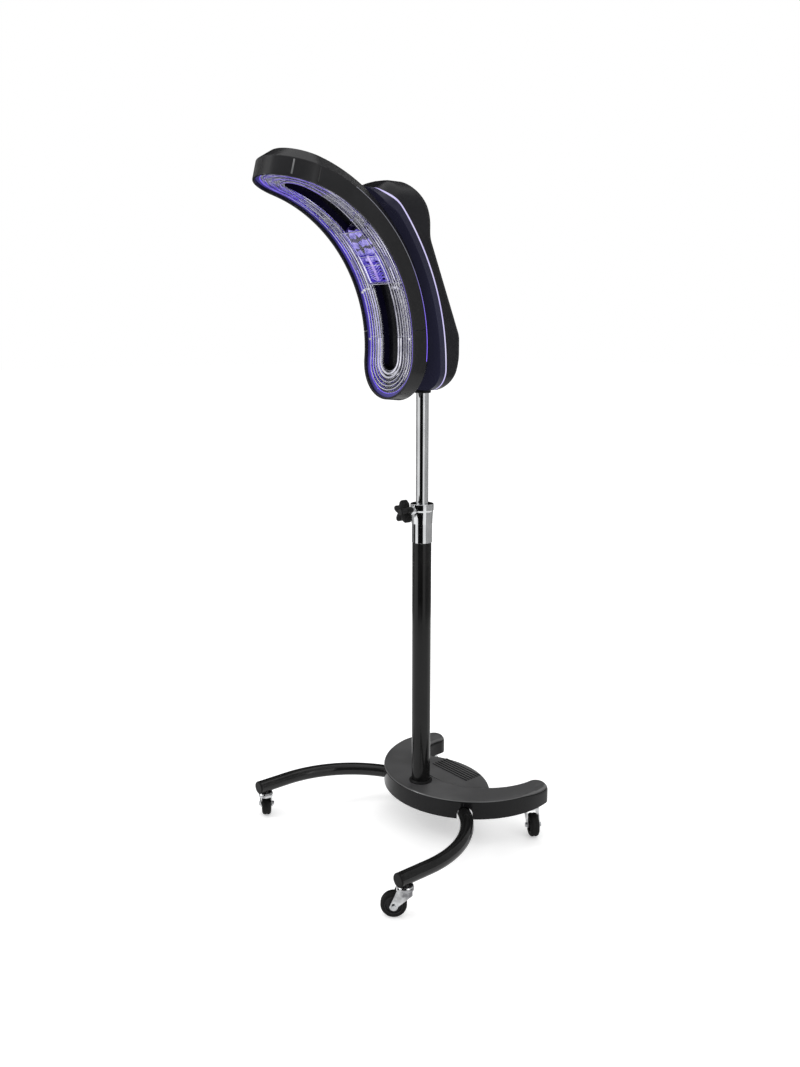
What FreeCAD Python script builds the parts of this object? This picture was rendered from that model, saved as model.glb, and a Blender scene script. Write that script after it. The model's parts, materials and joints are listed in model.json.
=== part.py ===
import FreeCAD, Part
import math
import os
import re

import Sketcher

# Hair color processor: a curved heating arc on a slim rear housing, on a telescopic
# pole with a crescent base, two bent legs and four swivel casters.
# Millimetres, +Z up. The pole axis is Z, the floor is z = 0 and the arc faces -Y.

V = FreeCAD.Vector

SIZES = {
    # casters
    "wheel_dia": 50, "wheel_width": 20, "tyre_thickness": 7, "tread_round": 5,
    "hub_bore_play": 0.05, "axle_dia": 6, "wheel_side_play": 1.5, "wheel_top_play": 4.3,
    "caster_trail": 22, "fork_sheet": 2, "fork_head_dia": 32, "fork_head_thick": 5.7,
    "race_gap": 0.3, "race_dia": 28, "rivet_dia": 16, "fork_apron": 12, "axle_head": 3,
    "hub_proud": 1, "hub_wall": 3, "hub_dish": 5, "race_thick": 2.7, "stem_dia": 10,
    "stem_reach": 22,
    "swivel_play": 0.05, "rivet_head": 2, "axle_boss_dia": 16, "fork_nose": 13,
    # legs
    "leg_dia": 28, "leg_wall": 2, "leg_half_span": 245, "leg_reach": 262,
    "hub_half": 15, "hub_centre": 40, "leg_stem_inset": 16, "leg_clearance": 1,
    "cap_thick": 3, "cap_depth": 5, "cap_round": 2, "fit_gap": 0.3, "weld_gap": 0.1,
    "boss_wall": 3,
    # base cover and frame
    "rim_radius": 198, "rim_centre": 150, "hollow_radius": 144, "hollow_centre": 184,
    "horn_round": 25, "horn_caster_back": 15, "skirt_bottom": 67, "cover_top": 108,
    "cover_wall": 3,
    "cover_round": 16, "notch_play": 2, "plate_thick": 5, "plate_inset": 20,
    "tongue_half": 40, "hub_depth": 32, "deck_opening": 66, "deck_radius": 172, "deck_centre": -30,
    "deck_top": 101, "deck_skirt": 25, "deck_round": 6, "rib_count": 6, "rib_pitch": 8,
    "rib_width": 3, "rib_height": 2, "rib_length": 112, "rib_first": 84,
    # column
    "tube_dia": 40, "tube_wall": 2, "tube_top": 700, "socket_flange_dia": 62,
    "socket_flange_thick": 5, "socket_height": 128, "socket_wall": 3, "socket_play": 0.1,
    "bolt_dia": 6, "bolt_head_dia": 10, "bolt_head": 4, "bolt_circle": 26,
    "trim_height": 5, "trim_width": 5, "sleeve_drop": 59, "sleeve_wall": 0.8,
    "sleeve_slot": 7, "collar_drop": 19, "collar_rise": 23, "collar_dia": 48,
    "collar_neck_dia": 43, "collar_ring": 13, "collar_split": 3, "collar_lip": 6,
    "collar_round": 2, "collar_play": 1,
    "bush_length": 59, "bush_play": 0.05, "knob_rise": 10, "boss_dia": 16,
    "boss_reach": 33, "stud_dia": 8, "stud_play": 0.05, "knob_dia": 50,
    "knob_thick": 16, "knob_hub_dia": 24, "knob_gap": 4, "knob_grip": 8, "lobe_dia": 15,
    "pad_dia": 7,
    "pad_thick": 4, "pad_gap": 0.3,
    "mast_dia": 25.4, "mast_wall": 1.5, "mast_bottom": 430, "mast_top": 1040,
    "plug_length": 20, "plug_play": 0.1, "plug_lip": 10,
    # head: pole bearing
    "neck_bottom": 949, "neck_top": 963, "neck_dia": 34, "bearing_wall": 3.5,
    "bearing_play": 0.05, "bearing_cap": 4, "strap_thick": 4, "strap_half": 26,
    "strap_low": 985, "strap_high": 1225,
    # head: rear housing
    "band_front": -4.8, "band_flare": 108.2, "band_centre_z": 1001.1,
    "front_thick": 13, "band_thick": 3, "band_width": 9, "housing_half": 76,
    "housing_low": 956, "housing_angle": 48.06, "housing_corner": 42, "band_play": 0.2,
    "back_low": 37, "back_shoulder": 1062, "back_high": -40, "notch_drop": 85,
    "back_floor": 950, "foot_radius": 105, "foot_height": 1030, "back_ease": 9,
    "back_lift": 4, "back_top_round": 68, "housing_round": 14, "housing_wall": 7,
    "vent_count": 9, "vent_pitch": 9, "vent_width": 4, "vent_length": 22, "vent_drop": 63,
    # head: arc
    "arc_radius": 279, "arc_forward": 78.9, "arc_centre_z": 1043.1, "arc_half": 77.7,
    "arc_wall_depth": 32.3, "arc_depth": 53.6, "arc_bevel": 21.4, "arc_sheet": 4.5,
    "arc_low": -5.4, "arc_high": 75.4, "arc_seam": 5.7, "seam_gap": 0.06,
    "bridge_half": 30, "bridge_low": 1065, "bridge_high": 1205, "bridge_play": 0.2,
    "strip_depth": 6, "strip_thick": 6, "strip_width": 6.8, "lens_depth": 7,
    "lens_thick": 3, "lens_rib": 3.2, "lens_rib_width": 3.4, "lens_rib_pitch": 7.6,
    "lens_rib_first": 26.5, "lens_rib_count": 5, "lens_seam": 3.7, "slot_half": 21.5,
    "slot_depth": 17, "slot_lip": 5.5,
    "slot_sheet": 1.5, "module_low": 24.2, "module_high": 47.5, "module_half": 31,
    "module_sheet": 2, "module_front": 1.5, "module_depth": 20, "module_end": 0.45,
    "board_inner": 33, "board_thick": 1.6, "heater_dia": 12, "heater_depth": 34,
    "holder_angle": 3, "holder_half": 12, "louvre_low": 25.1, "louvre_high": 36.6,
    "louvre_count": 7, "louvre_half": 24.6, "louvre_angle": 0.28, "louvre_tall": 7,
    "louvre_front": 4, "louvre_rail": 1.6, "grille_play": 0.4, "spine_half": 2.6,
    "spine_front": 2, "spine_tall": 6, "fan_angle": 35, "fan_size": 52, "fan_hole": 47,
    "fan_front": 24, "fan_thick": 14, "fan_hub_dia": 18, "fan_blades": 7,
    "fan_blade_reach": 22.5, "fan_blade_thick": 1.6, "fan_pin": 3, "fan_play": 0.05,
    "fan_foot": 6, "fan_vent": 14, "fan_hub_tall": 9, "fan_blade_sweep": 3,
    "fan_strut": 5, "fan_back": 2,
    # head: console on the sloping back
    "panel_width": 96, "panel_length": 150, "panel_thick": 5, "panel_round": 10,
    "window_width": 64, "window_length": 34, "window_offset": -46, "window_thick": 3,
    "button_dia": 14, "button_play": 0.3, "button_tall": 5, "button_travel": 1.2,
    "button_pitch_x": 36, "button_pitch_y": 30, "button_offset": 12, "button_round": 1,
    "inlet_width": 27, "inlet_height": 20, "inlet_x": -20, "inlet_z": 1043,
    "inlet_bezel": 2, "inlet_rim": 3, "inlet_depth": 16, "inlet_wall": 2.5,
    "contact_reach": 10, "contact_width": 4, "contact_thick": 2, "contact_pitch": 7,
    "rocker_x": 22, "rocker_width": 20, "rocker_height": 13, "rocker_play": 0.7,
    "rocker_well": 9, "rocker_pivot": 2, "rocker_proud": 3, "rocker_pin": 3,
    "rocker_pin_reach": 1,
}

doc = FreeCAD.newDocument("hair_color_processor")
sheet = doc.addObject("Spreadsheet::Sheet", "Sizes")
for row, (alias, size) in enumerate(SIZES.items(), start=1):
    sheet.set(f"A{row}", alias)
    sheet.set(f"B{row}", str(size))
    sheet.setAlias(f"B{row}", alias)
doc.recompute()

NODES = []


# ---- sizes and expressions ---------------------------------------------------------

def bound(text):
    """Turn 'tube_dia / 2' into an expression that reads the sheet."""
    return re.sub(r"[a-z]\w*", lambda word: ("Sizes." if word[0] in SIZES else "") + word[0],
                  str(text))


def value(text):
    result = sheet.evalExpression(str(text))
    return float(getattr(result, "Value", result))


def node(shape_object, label):
    shape_object.Label = label
    NODES.append(shape_object)
    return shape_object


def place(target, x=0, y=0, z=0, turn=None, axis=(0, 0, 1)):
    """Put a sub-part in the frame; every coordinate stays bound to the sheet."""
    rotation = FreeCAD.Rotation(V(*axis), value(turn)) if turn is not None else FreeCAD.Rotation()
    target.Placement = FreeCAD.Placement(V(value(x), value(y), value(z)), rotation)
    for name, text in (("x", x), ("y", y), ("z", z)):
        target.setExpression(f".Placement.Base.{name}", bound(text))
    if turn is not None:
        target.setExpression(".Placement.Rotation.Angle", bound(turn))
    return target


# ---- PartDesign helpers ------------------------------------------------------------

def new_body(label):
    body = doc.addObject("PartDesign::Body", label)
    return node(body, label)


def new_sketch(body, plane, name, shift=(0, 0, 0), turn=None, axis=(1, 0, 0)):
    """Sketch on one of the body's origin planes, shifted and turned by sheet values."""
    sketch = body.newObject("Sketcher::SketchObject", f"{body.Name}_{name}")
    support = [item for item in body.Origin.OriginFeatures if item.Role == plane][0]
    sketch.AttachmentSupport = [(support, "")]
    sketch.MapMode = "FlatFace"
    angle = 0 if turn is None else value(turn)
    rotation = FreeCAD.Rotation(V(*axis), angle)
    base = V(*[value(part) for part in shift])
    sketch.AttachmentOffset = FreeCAD.Placement(base, rotation)
    for letter, text in zip("xyz", shift):
        sketch.setExpression(f".AttachmentOffset.Base.{letter}", bound(text))
    if turn is not None:
        sketch.setExpression(".AttachmentOffset.Rotation.Angle", bound(turn))
    return sketch


def fix(sketch, kind, *where):
    """Add one driving constraint whose value is read from the sheet."""
    *refs, text = where
    index = sketch.addConstraint(Sketcher.Constraint(kind, *refs, value(text)))
    sketch.renameConstraint(index, f"size{index}")
    sketch.setExpression(f"Constraints.size{index}", bound(text))


def pin_point(sketch, edge, end, x, y):
    fix(sketch, "DistanceX", -1, 1, edge, end, x)
    fix(sketch, "DistanceY", -1, 1, edge, end, y)


def circle(sketch, radius, x=0, y=0):
    centre = V(value(x), value(y), 0)
    edge = sketch.addGeometry(Part.Circle(centre, V(0, 0, 1), value(radius)))
    fix(sketch, "Radius", edge, radius)
    pin_point(sketch, edge, 3, x, y)


def arc_between(start, end, radius, turn):
    """Arc of a circle from start to end; turn +1 runs counter-clockwise."""
    chord = end - start
    half = chord.Length / 2
    rise = math.sqrt(max(radius * radius - half * half, 0.0))
    normal = V(-chord.y, chord.x, 0).normalize()
    centre = (start + end) * 0.5 + normal * (rise * turn)
    first, last = (start, end) if turn > 0 else (end, start)
    angles = [math.atan2(point.y - centre.y, point.x - centre.x) for point in (first, last)]
    if angles[1] <= angles[0]:
        angles[1] += 2 * math.pi
    return Part.ArcOfCircle(Part.Circle(centre, V(0, 0, 1), radius), angles[0], angles[1])


def outline(sketch, points):
    """Closed outline of lines and arcs. A point is (x, y), or (x, y, radius, turn)
    where the edge that arrives at it is an arc."""
    spots = [V(value(point[0]), value(point[1]), 0) for point in points]
    edges = []
    for index, point in enumerate(points):
        start = spots[index - 1]
        if len(point) == 2:
            edge = sketch.addGeometry(Part.LineSegment(start, spots[index]))
            edges.append((edge, 1, 2))
        else:
            turn = point[3]
            edge = sketch.addGeometry(arc_between(start, spots[index], value(point[2]), turn))
            edges.append((edge, 1, 2) if turn > 0 else (edge, 2, 1))
            fix(sketch, "Radius", edge, point[2])
    for index, point in enumerate(points):
        edge, _, end = edges[index]
        after, first, _ = edges[(index + 1) % len(points)]
        sketch.addConstraint(Sketcher.Constraint("Coincident", edge, end, after, first))
        pin_point(sketch, edge, end, point[0], point[1])


def rectangle(sketch, left, low, right, high):
    outline(sketch, [(left, low), (right, low), (right, high), (left, high)])


def add_feature(body, kind, sketch, name, **settings):
    feature = body.newObject(f"PartDesign::{kind}", f"{body.Name}_{name}")
    feature.Profile = sketch
    sketch.Visibility = False
    for key, setting in settings.items():
        setattr(feature, key, setting)
    body.Tip = feature
    return feature


def pad(body, sketch, name, length, reverse=False, both=False):
    feature = add_feature(body, "Pad", sketch, name, Reversed=reverse, Midplane=both)
    feature.setExpression("Length", bound(length))
    return feature


def pocket(body, sketch, name, length=None, reverse=False, both=False):
    """Cut the sketch out of the body; without a length it goes right through."""
    feature = add_feature(body, "Pocket", sketch, name, Reversed=reverse, Midplane=both)
    if length is None:
        feature.Type = "ThroughAll"
    else:
        feature.setExpression("Length", bound(length))
    return feature


def revolve(body, sketch, name, axis="V_Axis", angle="360", reverse=False, cut=False):
    kind = "Groove" if cut else "Revolution"
    feature = add_feature(body, kind, sketch, name, ReferenceAxis=(sketch, [axis]),
                          Reversed=reverse)
    feature.setExpression("Angle", bound(angle))
    return feature


def dress(body, kind, name, edges, size):
    """Fillet or chamfer on edges of the tip, given by a test on each edge."""
    doc.recompute()
    base = body.Tip
    names = [f"Edge{i + 1}" for i, edge in enumerate(base.Shape.Edges) if edges(edge)]
    feature = body.newObject(f"PartDesign::{kind}", f"{body.Name}_{name}")
    feature.Base = (base, names)
    feature.setExpression("Radius" if kind == "Fillet" else "Size", bound(size))
    body.Tip = feature
    return feature


def linear_pattern(body, feature, name, axis, span, count):
    pattern = body.newObject("PartDesign::LinearPattern", f"{body.Name}_{name}")
    pattern.Originals = [feature]
    pattern.Direction = (feature.Profile[0], [axis])
    pattern.setExpression("Length", bound(span))
    pattern.setExpression("Occurrences", bound(count))
    body.Tip = pattern
    return pattern


def polar_pattern(body, feature, name, sketch, axis, angle, count):
    pattern = body.newObject("PartDesign::PolarPattern", f"{body.Name}_{name}")
    pattern.Originals = [feature]
    pattern.Axis = (sketch, [axis])
    pattern.setExpression("Angle", bound(angle))
    pattern.setExpression("Occurrences", bound(count))
    body.Tip = pattern
    return pattern


def at_height(edge, text, slack=0.01):
    box = edge.BoundBox
    level = value(text)
    return abs(box.ZMin - level) < slack and abs(box.ZMax - level) < slack


def turned(label, profile, x=0, y=0):
    """Body turned about the vertical axis from (radius, height) points."""
    body = new_body(label)
    sketch = new_sketch(body, "XZ_Plane", "profile")
    outline(sketch, profile)
    revolve(body, sketch, "turn")
    return place(body, x, y)


def cut_node(label, base, tool):
    cut = doc.addObject("Part::Cut", label)
    cut.Base, cut.Tool = base, tool
    return node(cut, label)


# ---- base --------------------------------------------------------------------------

SEAT_Z = "(wheel_dia + wheel_top_play + fork_head_thick + race_gap + race_thick)"
LEG_Z = f"({SEAT_Z} + leg_clearance + leg_dia / 2)"
PLATE_Z = f"({LEG_Z} + leg_dia / 2)"
SOCKET_Z = f"({PLATE_Z} + plate_thick)"
TUBE_Z = f"({SOCKET_Z} + socket_flange_thick)"
BORE = "(tube_dia / 2 - tube_wall)"
SLEEVE_Z = "(tube_top - sleeve_drop)"
COLLAR_Z = "(tube_top - collar_drop)"
COLLAR_TOP = "(tube_top + collar_rise)"
KNOB_Z = "(tube_top + knob_rise)"
BEND_RADIUS = "(leg_half_span - hub_half)"
KNEE_Y = f"(hub_centre - {BEND_RADIUS})"
FOOT_Y = "(-(leg_reach - leg_stem_inset))"

# centre of the round horn tip, which touches the rim circle and the hollow circle
HORN_OUT = "(rim_radius - horn_round)"
HORN_IN = "(hollow_radius + horn_round)"
HORN_Y = (f"((({HORN_OUT})^2 - ({HORN_IN})^2) / (2 * (hollow_centre - rim_centre))"
          " + (rim_centre + hollow_centre) / 2)")
HORN_X = f"sqrt({HORN_OUT}^2 - ({HORN_Y} - rim_centre)^2)"
CASTER_Y = f"({HORN_Y} - horn_caster_back)"

CASTERS = {
    "front_left": ("-leg_half_span", FOOT_Y, "-34"),
    "front_right": ("leg_half_span", FOOT_Y, "50"),
    "rear_left": (f"-{HORN_X}", CASTER_Y, "-60"),
    "rear_right": (HORN_X, CASTER_Y, "147"),
}


def crescent(sketch, inset):
    """Crescent between the rim circle and the hollow circle, with round horn tips."""
    rim = f"(rim_radius - {inset})"
    hollow = f"(hollow_radius + {inset})"
    tip = f"(horn_round - {inset})"
    outer_x = f"{HORN_X} * {rim} / {HORN_OUT}"
    outer_y = f"rim_centre + ({HORN_Y} - rim_centre) * {rim} / {HORN_OUT}"
    inner_x = f"{HORN_X} * {hollow} / {HORN_IN}"
    inner_y = f"hollow_centre + ({HORN_Y} - hollow_centre) * {hollow} / {HORN_IN}"
    outline(sketch, [
        (f"-{outer_x}", outer_y, tip, 1),
        ("0", f"rim_centre - {rim}", rim, 1),
        (outer_x, outer_y, rim, 1),
        (HORN_X, f"{HORN_Y} + {tip}", tip, 1),
        (inner_x, inner_y, tip, 1),
        ("0", f"hollow_centre - {hollow}", hollow, -1),
        (f"-{inner_x}", inner_y, hollow, -1),
        (f"-{HORN_X}", f"{HORN_Y} + {tip}", tip, 1),
    ])


def leg_path(body, name, side):
    """Centre line of a leg in plan: a quarter bend from the hub and a straight foot."""
    sketch = new_sketch(body, "XY_Plane", name, shift=(0, 0, LEG_Z))
    hub = V(side * value("hub_half"), value("hub_centre"), 0)
    knee = V(side * value("leg_half_span"), value(KNEE_Y), 0)
    foot = V(side * value("leg_half_span"), -value("leg_reach"), 0)
    bend = sketch.addGeometry(arc_between(hub, knee, value(BEND_RADIUS), -side))
    run = sketch.addGeometry(Part.LineSegment(knee, foot))
    start, end = (2, 1) if side > 0 else (1, 2)
    fix(sketch, "Radius", bend, BEND_RADIUS)
    pin_point(sketch, bend, start, f"{side} * hub_half", "hub_centre")
    sketch.addConstraint(Sketcher.Constraint("Coincident", bend, end, run, 1))
    pin_point(sketch, run, 1, f"{side} * leg_half_span", KNEE_Y)
    pin_point(sketch, run, 2, f"{side} * leg_half_span", "-leg_reach")
    sketch.Visibility = False
    return sketch


def sweep(body, section, path, name, cut=False):
    kind = "SubtractivePipe" if cut else "AdditivePipe"
    pipe = add_feature(body, kind, section, name)
    pipe.Spine = (path, ["Edge1", "Edge2"])
    return pipe


def make_leg(label, side):
    """Bent round tube with a welded boss for the caster stem near its foot."""
    body = new_body(label)
    path = leg_path(body, "path", side)
    across = f"{side} * leg_half_span"
    for name, radius, cut in (("tube", "leg_dia / 2", False),
                              ("bore", "leg_dia / 2 - leg_wall", True)):
        section = new_sketch(body, "XZ_Plane", f"{name}_section", shift=(0, 0, "leg_reach"))
        circle(section, radius, across, LEG_Z)
        sweep(body, section, path, name, cut)
    boss = new_sketch(body, "XY_Plane", "boss", shift=(0, 0, SEAT_Z))
    circle(boss, "stem_dia / 2 + boss_wall", across, FOOT_Y)
    pad(body, boss, "boss_pad", "leg_clearance + leg_dia / 2")
    hole = new_sketch(body, "XY_Plane", "stem_hole", shift=(0, 0, SEAT_Z))
    circle(hole, "stem_dia / 2 + weld_gap", across, FOOT_Y)
    pocket(body, hole, "stem_bore", "stem_reach + fit_gap", reverse=True)


def make_leg_caps():
    """Plastic plugs that close the open feet of both legs."""
    caps = []
    for side, name in ((-1, "left"), (1, "right")):
        cap = doc.addObject("PartDesign::Body", f"cap_{name}")
        head = new_sketch(cap, "XZ_Plane", "profile")
        outline(head, [
            ("0", "0"), ("leg_dia / 2", "0"),
            ("leg_dia / 2", "cap_thick - cap_round"),
            ("leg_dia / 2 - cap_round", "cap_thick", "cap_round", 1), ("0", "cap_thick"),
        ])
        revolve(cap, head, "turn")
        plug = new_sketch(cap, "XY_Plane", "plug")
        circle(plug, "leg_dia / 2 - leg_wall - weld_gap")
        pad(cap, plug, "plug_pad", "cap_depth", reverse=True)
        caps.append(place(cap, f"{side} * leg_half_span", "-leg_reach", LEG_Z, "90", (1, 0, 0)))
    gather("leg_end_caps", caps)


def gather(label, pieces):
    """One node that holds several like solids."""
    group = doc.addObject("Part::Compound", label)
    group.Links = pieces
    return node(group, label)


def bolt_spots():
    step = "bolt_circle * sqrt(0.5)"
    return [(f"{i} * {step}", f"{j} * {step}") for i in (-1, 1) for j in (-1, 1)]


def make_base_frame():
    """Crescent steel plate with a tongue, the hub block between the legs and the
    two bosses that hold the horn casters."""
    body = new_body("base_frame")
    plate = new_sketch(body, "XY_Plane", "plate", shift=(0, 0, PLATE_Z))
    crescent(plate, "plate_inset")
    pad(body, plate, "plate_pad", "plate_thick")
    tongue = new_sketch(body, "XY_Plane", "tongue", shift=(0, 0, PLATE_Z))
    rectangle(tongue, "-tongue_half", "0", "tongue_half", "hub_centre + hub_depth / 2")
    pad(body, tongue, "tongue_pad", "plate_thick")
    hub = new_sketch(body, "XY_Plane", "hub", shift=(0, 0, PLATE_Z))
    rectangle(hub, "-hub_half", "hub_centre - hub_depth / 2", "hub_half",
              "hub_centre + hub_depth / 2")
    pad(body, hub, "hub_pad", "leg_dia", reverse=True)
    for side, name in ((-1, "left"), (1, "right")):
        boss = new_sketch(body, "XY_Plane", f"boss_{name}", shift=(0, 0, SEAT_Z))
        circle(boss, "stem_dia / 2 + boss_wall", f"{side} * {HORN_X}", CASTER_Y)
        pad(body, boss, f"boss_pad_{name}", f"{PLATE_Z} - {SEAT_Z}")
    for side, name in ((-1, "left"), (1, "right")):
        hole = new_sketch(body, "XY_Plane", f"hole_{name}", shift=(0, 0, SEAT_Z))
        circle(hole, "stem_dia / 2 + weld_gap", f"{side} * {HORN_X}", CASTER_Y)
        pocket(body, hole, f"stem_bore_{name}", "stem_reach + fit_gap", reverse=True)
    holes = new_sketch(body, "XY_Plane", "bolt_holes", shift=(0, 0, PLATE_Z))
    for x, y in bolt_spots():
        circle(holes, "bolt_dia / 2 + weld_gap", x, y)
    pocket(body, holes, "bolt_pocket", "plate_thick", reverse=True)


def cover_block(label, inset):
    """Crescent block with a rounded upper edge, as the cover's form or its cavity."""
    body = doc.addObject("PartDesign::Body", label)
    rim = new_sketch(body, "XY_Plane", "rim", shift=(0, 0, f"skirt_bottom - {inset}"))
    crescent(rim, inset)
    pad(body, rim, "block", "cover_top - skirt_bottom")
    top = value(f"cover_top - {inset}")
    dress(body, "Fillet", "rim_round", lambda edge: abs(edge.BoundBox.ZMin - top) < 0.01,
          f"cover_round - {inset}")
    return body


def make_base_cover():
    """Moulded crescent shell with a rounded rim, open below, notched for the legs
    and for the tongue of the frame."""
    body = cover_block("cover_form", "0")
    hole = new_sketch(body, "XY_Plane", "pole_hole", shift=(0, 0, "cover_top"))
    circle(hole, "tube_dia / 2 + fit_gap")
    pocket(body, hole, "pole_pocket", "cover_wall * 2")
    mouth = new_sketch(body, "XY_Plane", "tongue_notch", shift=(0, 0, "skirt_bottom"))
    rectangle(mouth, "-tongue_half - notch_play", "0", "tongue_half + notch_play",
              "hub_centre + hub_depth")
    pocket(body, mouth, "tongue_pocket", f"{SOCKET_Z} + fit_gap - skirt_bottom", reverse=True)
    low = "skirt_bottom - cover_wall"
    reach = "(leg_dia / 2 + notch_play)"
    for side, name in ((-1, "left"), (1, "right")):
        path = leg_path(body, f"notch_path_{name}", side)
        section = new_sketch(body, "XZ_Plane", f"notch_{name}", shift=(0, 0, "leg_reach"))
        middle = f"{side} * leg_half_span"
        outline(section, [
            (f"{middle} + {reach}", low), (f"{middle} + {reach}", LEG_Z),
            (middle, f"{LEG_Z} + {reach}", reach, 1), (f"{middle} - {reach}", LEG_Z, reach, 1),
            (f"{middle} - {reach}", low),
        ])
        sweep(body, section, path, f"notch_cut_{name}", cut=True)
    cut_node("base_cover", body, cover_block("cover_cavity", "cover_wall"))


def make_base_deck():
    """Raised platform in the hollow of the crescent, with parallel foot ribs."""
    body = new_body("base_deck")

    def lens_shape(sketch, inset):
        hollow = f"(hollow_radius - fit_gap - {inset})"
        back = f"(deck_radius - {inset})"
        span = "(hollow_centre - deck_centre)"
        meet_y = f"(deck_centre + ({span}^2 + {back}^2 - {hollow}^2) / (2 * {span}))"
        meet_x = f"sqrt({back}^2 - ({meet_y} - deck_centre)^2)"
        outline(sketch, [
            (meet_x, meet_y, hollow, 1), ("0", f"deck_centre + {back}", back, 1),
            (f"-{meet_x}", meet_y, back, 1), ("0", f"hollow_centre - {hollow}", hollow, 1),
        ])

    bottom = "(deck_top - deck_skirt)"
    plan = new_sketch(body, "XY_Plane", "plan", shift=(0, 0, bottom))
    lens_shape(plan, "0")
    pad(body, plan, "block", "deck_skirt")
    back = value("hollow_centre - hollow_radius + deck_opening / 2")
    dress(body, "Fillet", "edge_round",
          lambda edge: at_height(edge, "deck_top") and edge.BoundBox.YMax > back
          and abs(edge.Curve.Radius - value("deck_radius")) < 1, "deck_round")
    inside = new_sketch(body, "XY_Plane", "inside", shift=(0, 0, bottom))
    lens_shape(inside, "deck_round")
    pocket(body, inside, "inside_cut", f"{SOCKET_Z} - {bottom}", reverse=True)
    seat = new_sketch(body, "XY_Plane", "seat", shift=(0, 0, bottom))
    rectangle(seat, "-deck_opening", "0", "deck_opening", "hub_centre + hub_depth / 2 + fit_gap")
    pocket(body, seat, "seat_cut", f"{SOCKET_Z} - {bottom}", reverse=True)
    rib = new_sketch(body, "XY_Plane", "rib", shift=(0, 0, "deck_top"))
    rectangle(rib, "-rib_length / 2", "rib_first", "rib_length / 2", "rib_first + rib_width")
    first = pad(body, rib, "rib_pad", "rib_height")
    linear_pattern(body, first, "ribs", "V_Axis", "rib_pitch * (rib_count - 1)", "rib_count")


# ---- casters -----------------------------------------------------------------------

def make_caster_stems():
    """Threaded stem, upper race and rivet head of each caster, one solid each."""
    stems = []
    low = "(wheel_dia + wheel_top_play - race_gap)"
    race = f"({SEAT_Z} - race_thick)"
    for name, (x, y, _) in CASTERS.items():
        body = doc.addObject("PartDesign::Body", f"stem_{name}")
        sketch = new_sketch(body, "XZ_Plane", "profile")
        outline(sketch, [
            ("0", f"{low} - rivet_head"), ("rivet_dia / 2", f"{low} - rivet_head"),
            ("rivet_dia / 2", low), ("stem_dia / 2", low),
            ("stem_dia / 2", race), ("race_dia / 2", race),
            ("race_dia / 2", SEAT_Z), ("stem_dia / 2", SEAT_Z),
            ("stem_dia / 2", f"{SEAT_Z} + stem_reach"), ("0", f"{SEAT_Z} + stem_reach"),
        ])
        revolve(body, sketch, "turn")
        stems.append(place(body, x, y))
    gather("caster_stems", stems)


def make_fork(name, x, y, yaw):
    """Stamped swivel fork with its riveted axle. The wheel trails along -X."""
    fork = new_body(f"caster_fork_{name}")
    slot = "(wheel_width + 2 * wheel_side_play)"
    top = "(wheel_dia + wheel_top_play + fork_head_thick)"
    boss = "axle_boss_dia / 2"
    cheek = new_sketch(fork, "XZ_Plane", "cheek")
    outline(cheek, [
        ("fork_nose", top), ("-fork_nose - 2", top),
        (f"-caster_trail - {boss}", "wheel_dia / 2"),
        ("-caster_trail", f"wheel_dia / 2 - {boss}", boss, 1),
        (f"-caster_trail + {boss}", "wheel_dia / 2", boss, 1),
        ("fork_nose", f"{top} - fork_apron"),
    ])
    pad(fork, cheek, "cheeks", f"{slot} + 2 * fork_sheet", both=True)
    head = new_sketch(fork, "XY_Plane", "head", shift=(0, 0, top))
    circle(head, "fork_head_dia / 2")
    pad(fork, head, "head_pad", "fork_head_thick", reverse=True)
    gap = new_sketch(fork, "YZ_Plane", "gap")
    rectangle(gap, f"-{slot} / 2", "-fork_apron", f"{slot} / 2", "wheel_dia + wheel_top_play")
    pocket(fork, gap, "gap_cut", both=True)
    bore = new_sketch(fork, "XY_Plane", "swivel", shift=(0, 0, top))
    circle(bore, "stem_dia / 2 + swivel_play")
    pocket(fork, bore, "swivel_bore", "fork_head_thick + 1")
    axle = new_sketch(fork, "XZ_Plane", "axle")
    circle(axle, "axle_dia / 2", "-caster_trail", "wheel_dia / 2")
    pad(fork, axle, "axle_pin", f"{slot} + 2 * fork_sheet + axle_head", both=True)
    place(fork, x, y, 0, yaw)


def make_wheel(name, x, y, yaw):
    """Rubber tyre with a rounded tread on a dished hub."""
    rim, half = "(wheel_dia / 2)", "(wheel_width / 2)"
    inner = "(wheel_dia / 2 - tyre_thickness)"
    tyre = new_body(f"caster_tyre_{name}")
    tread = new_sketch(tyre, "XY_Plane", "tread")
    outline(tread, [
        (f"-{half}", inner), (half, inner), (half, f"{rim} - tread_round"),
        (f"{half} - tread_round", rim, "tread_round", 1), (f"-{half} + tread_round", rim),
        (f"-{half}", f"{rim} - tread_round", "tread_round", 1),
    ])
    revolve(tyre, tread, "turn", axis="H_Axis")

    hub = new_body(f"caster_hub_{name}")
    bore = "(axle_dia / 2 + hub_bore_play)"
    edge = f"({inner} - weld_gap)"
    right = [
        (f"{half} + hub_proud", bore), (f"{half} + hub_proud", f"{bore} + hub_wall"),
        (f"{half} - hub_dish", f"{bore} + hub_wall + 1"),
        (f"{half} - hub_dish", f"{edge} - hub_wall"), (f"{half} - 1", f"{edge} - hub_wall + 1"),
        (f"{half} - 1", edge),
    ]
    left = [(f"-({across})", radius) for across, radius in reversed(right)]
    disc = new_sketch(hub, "XY_Plane", "disc")
    outline(disc, right + left)
    revolve(hub, disc, "turn", axis="H_Axis")
    for piece in (tyre, hub):
        place(piece, f"{x} - caster_trail * cos({yaw})", f"{y} - caster_trail * sin({yaw})",
              "wheel_dia / 2", f"{yaw} + 90")


# ---- column ------------------------------------------------------------------------

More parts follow.
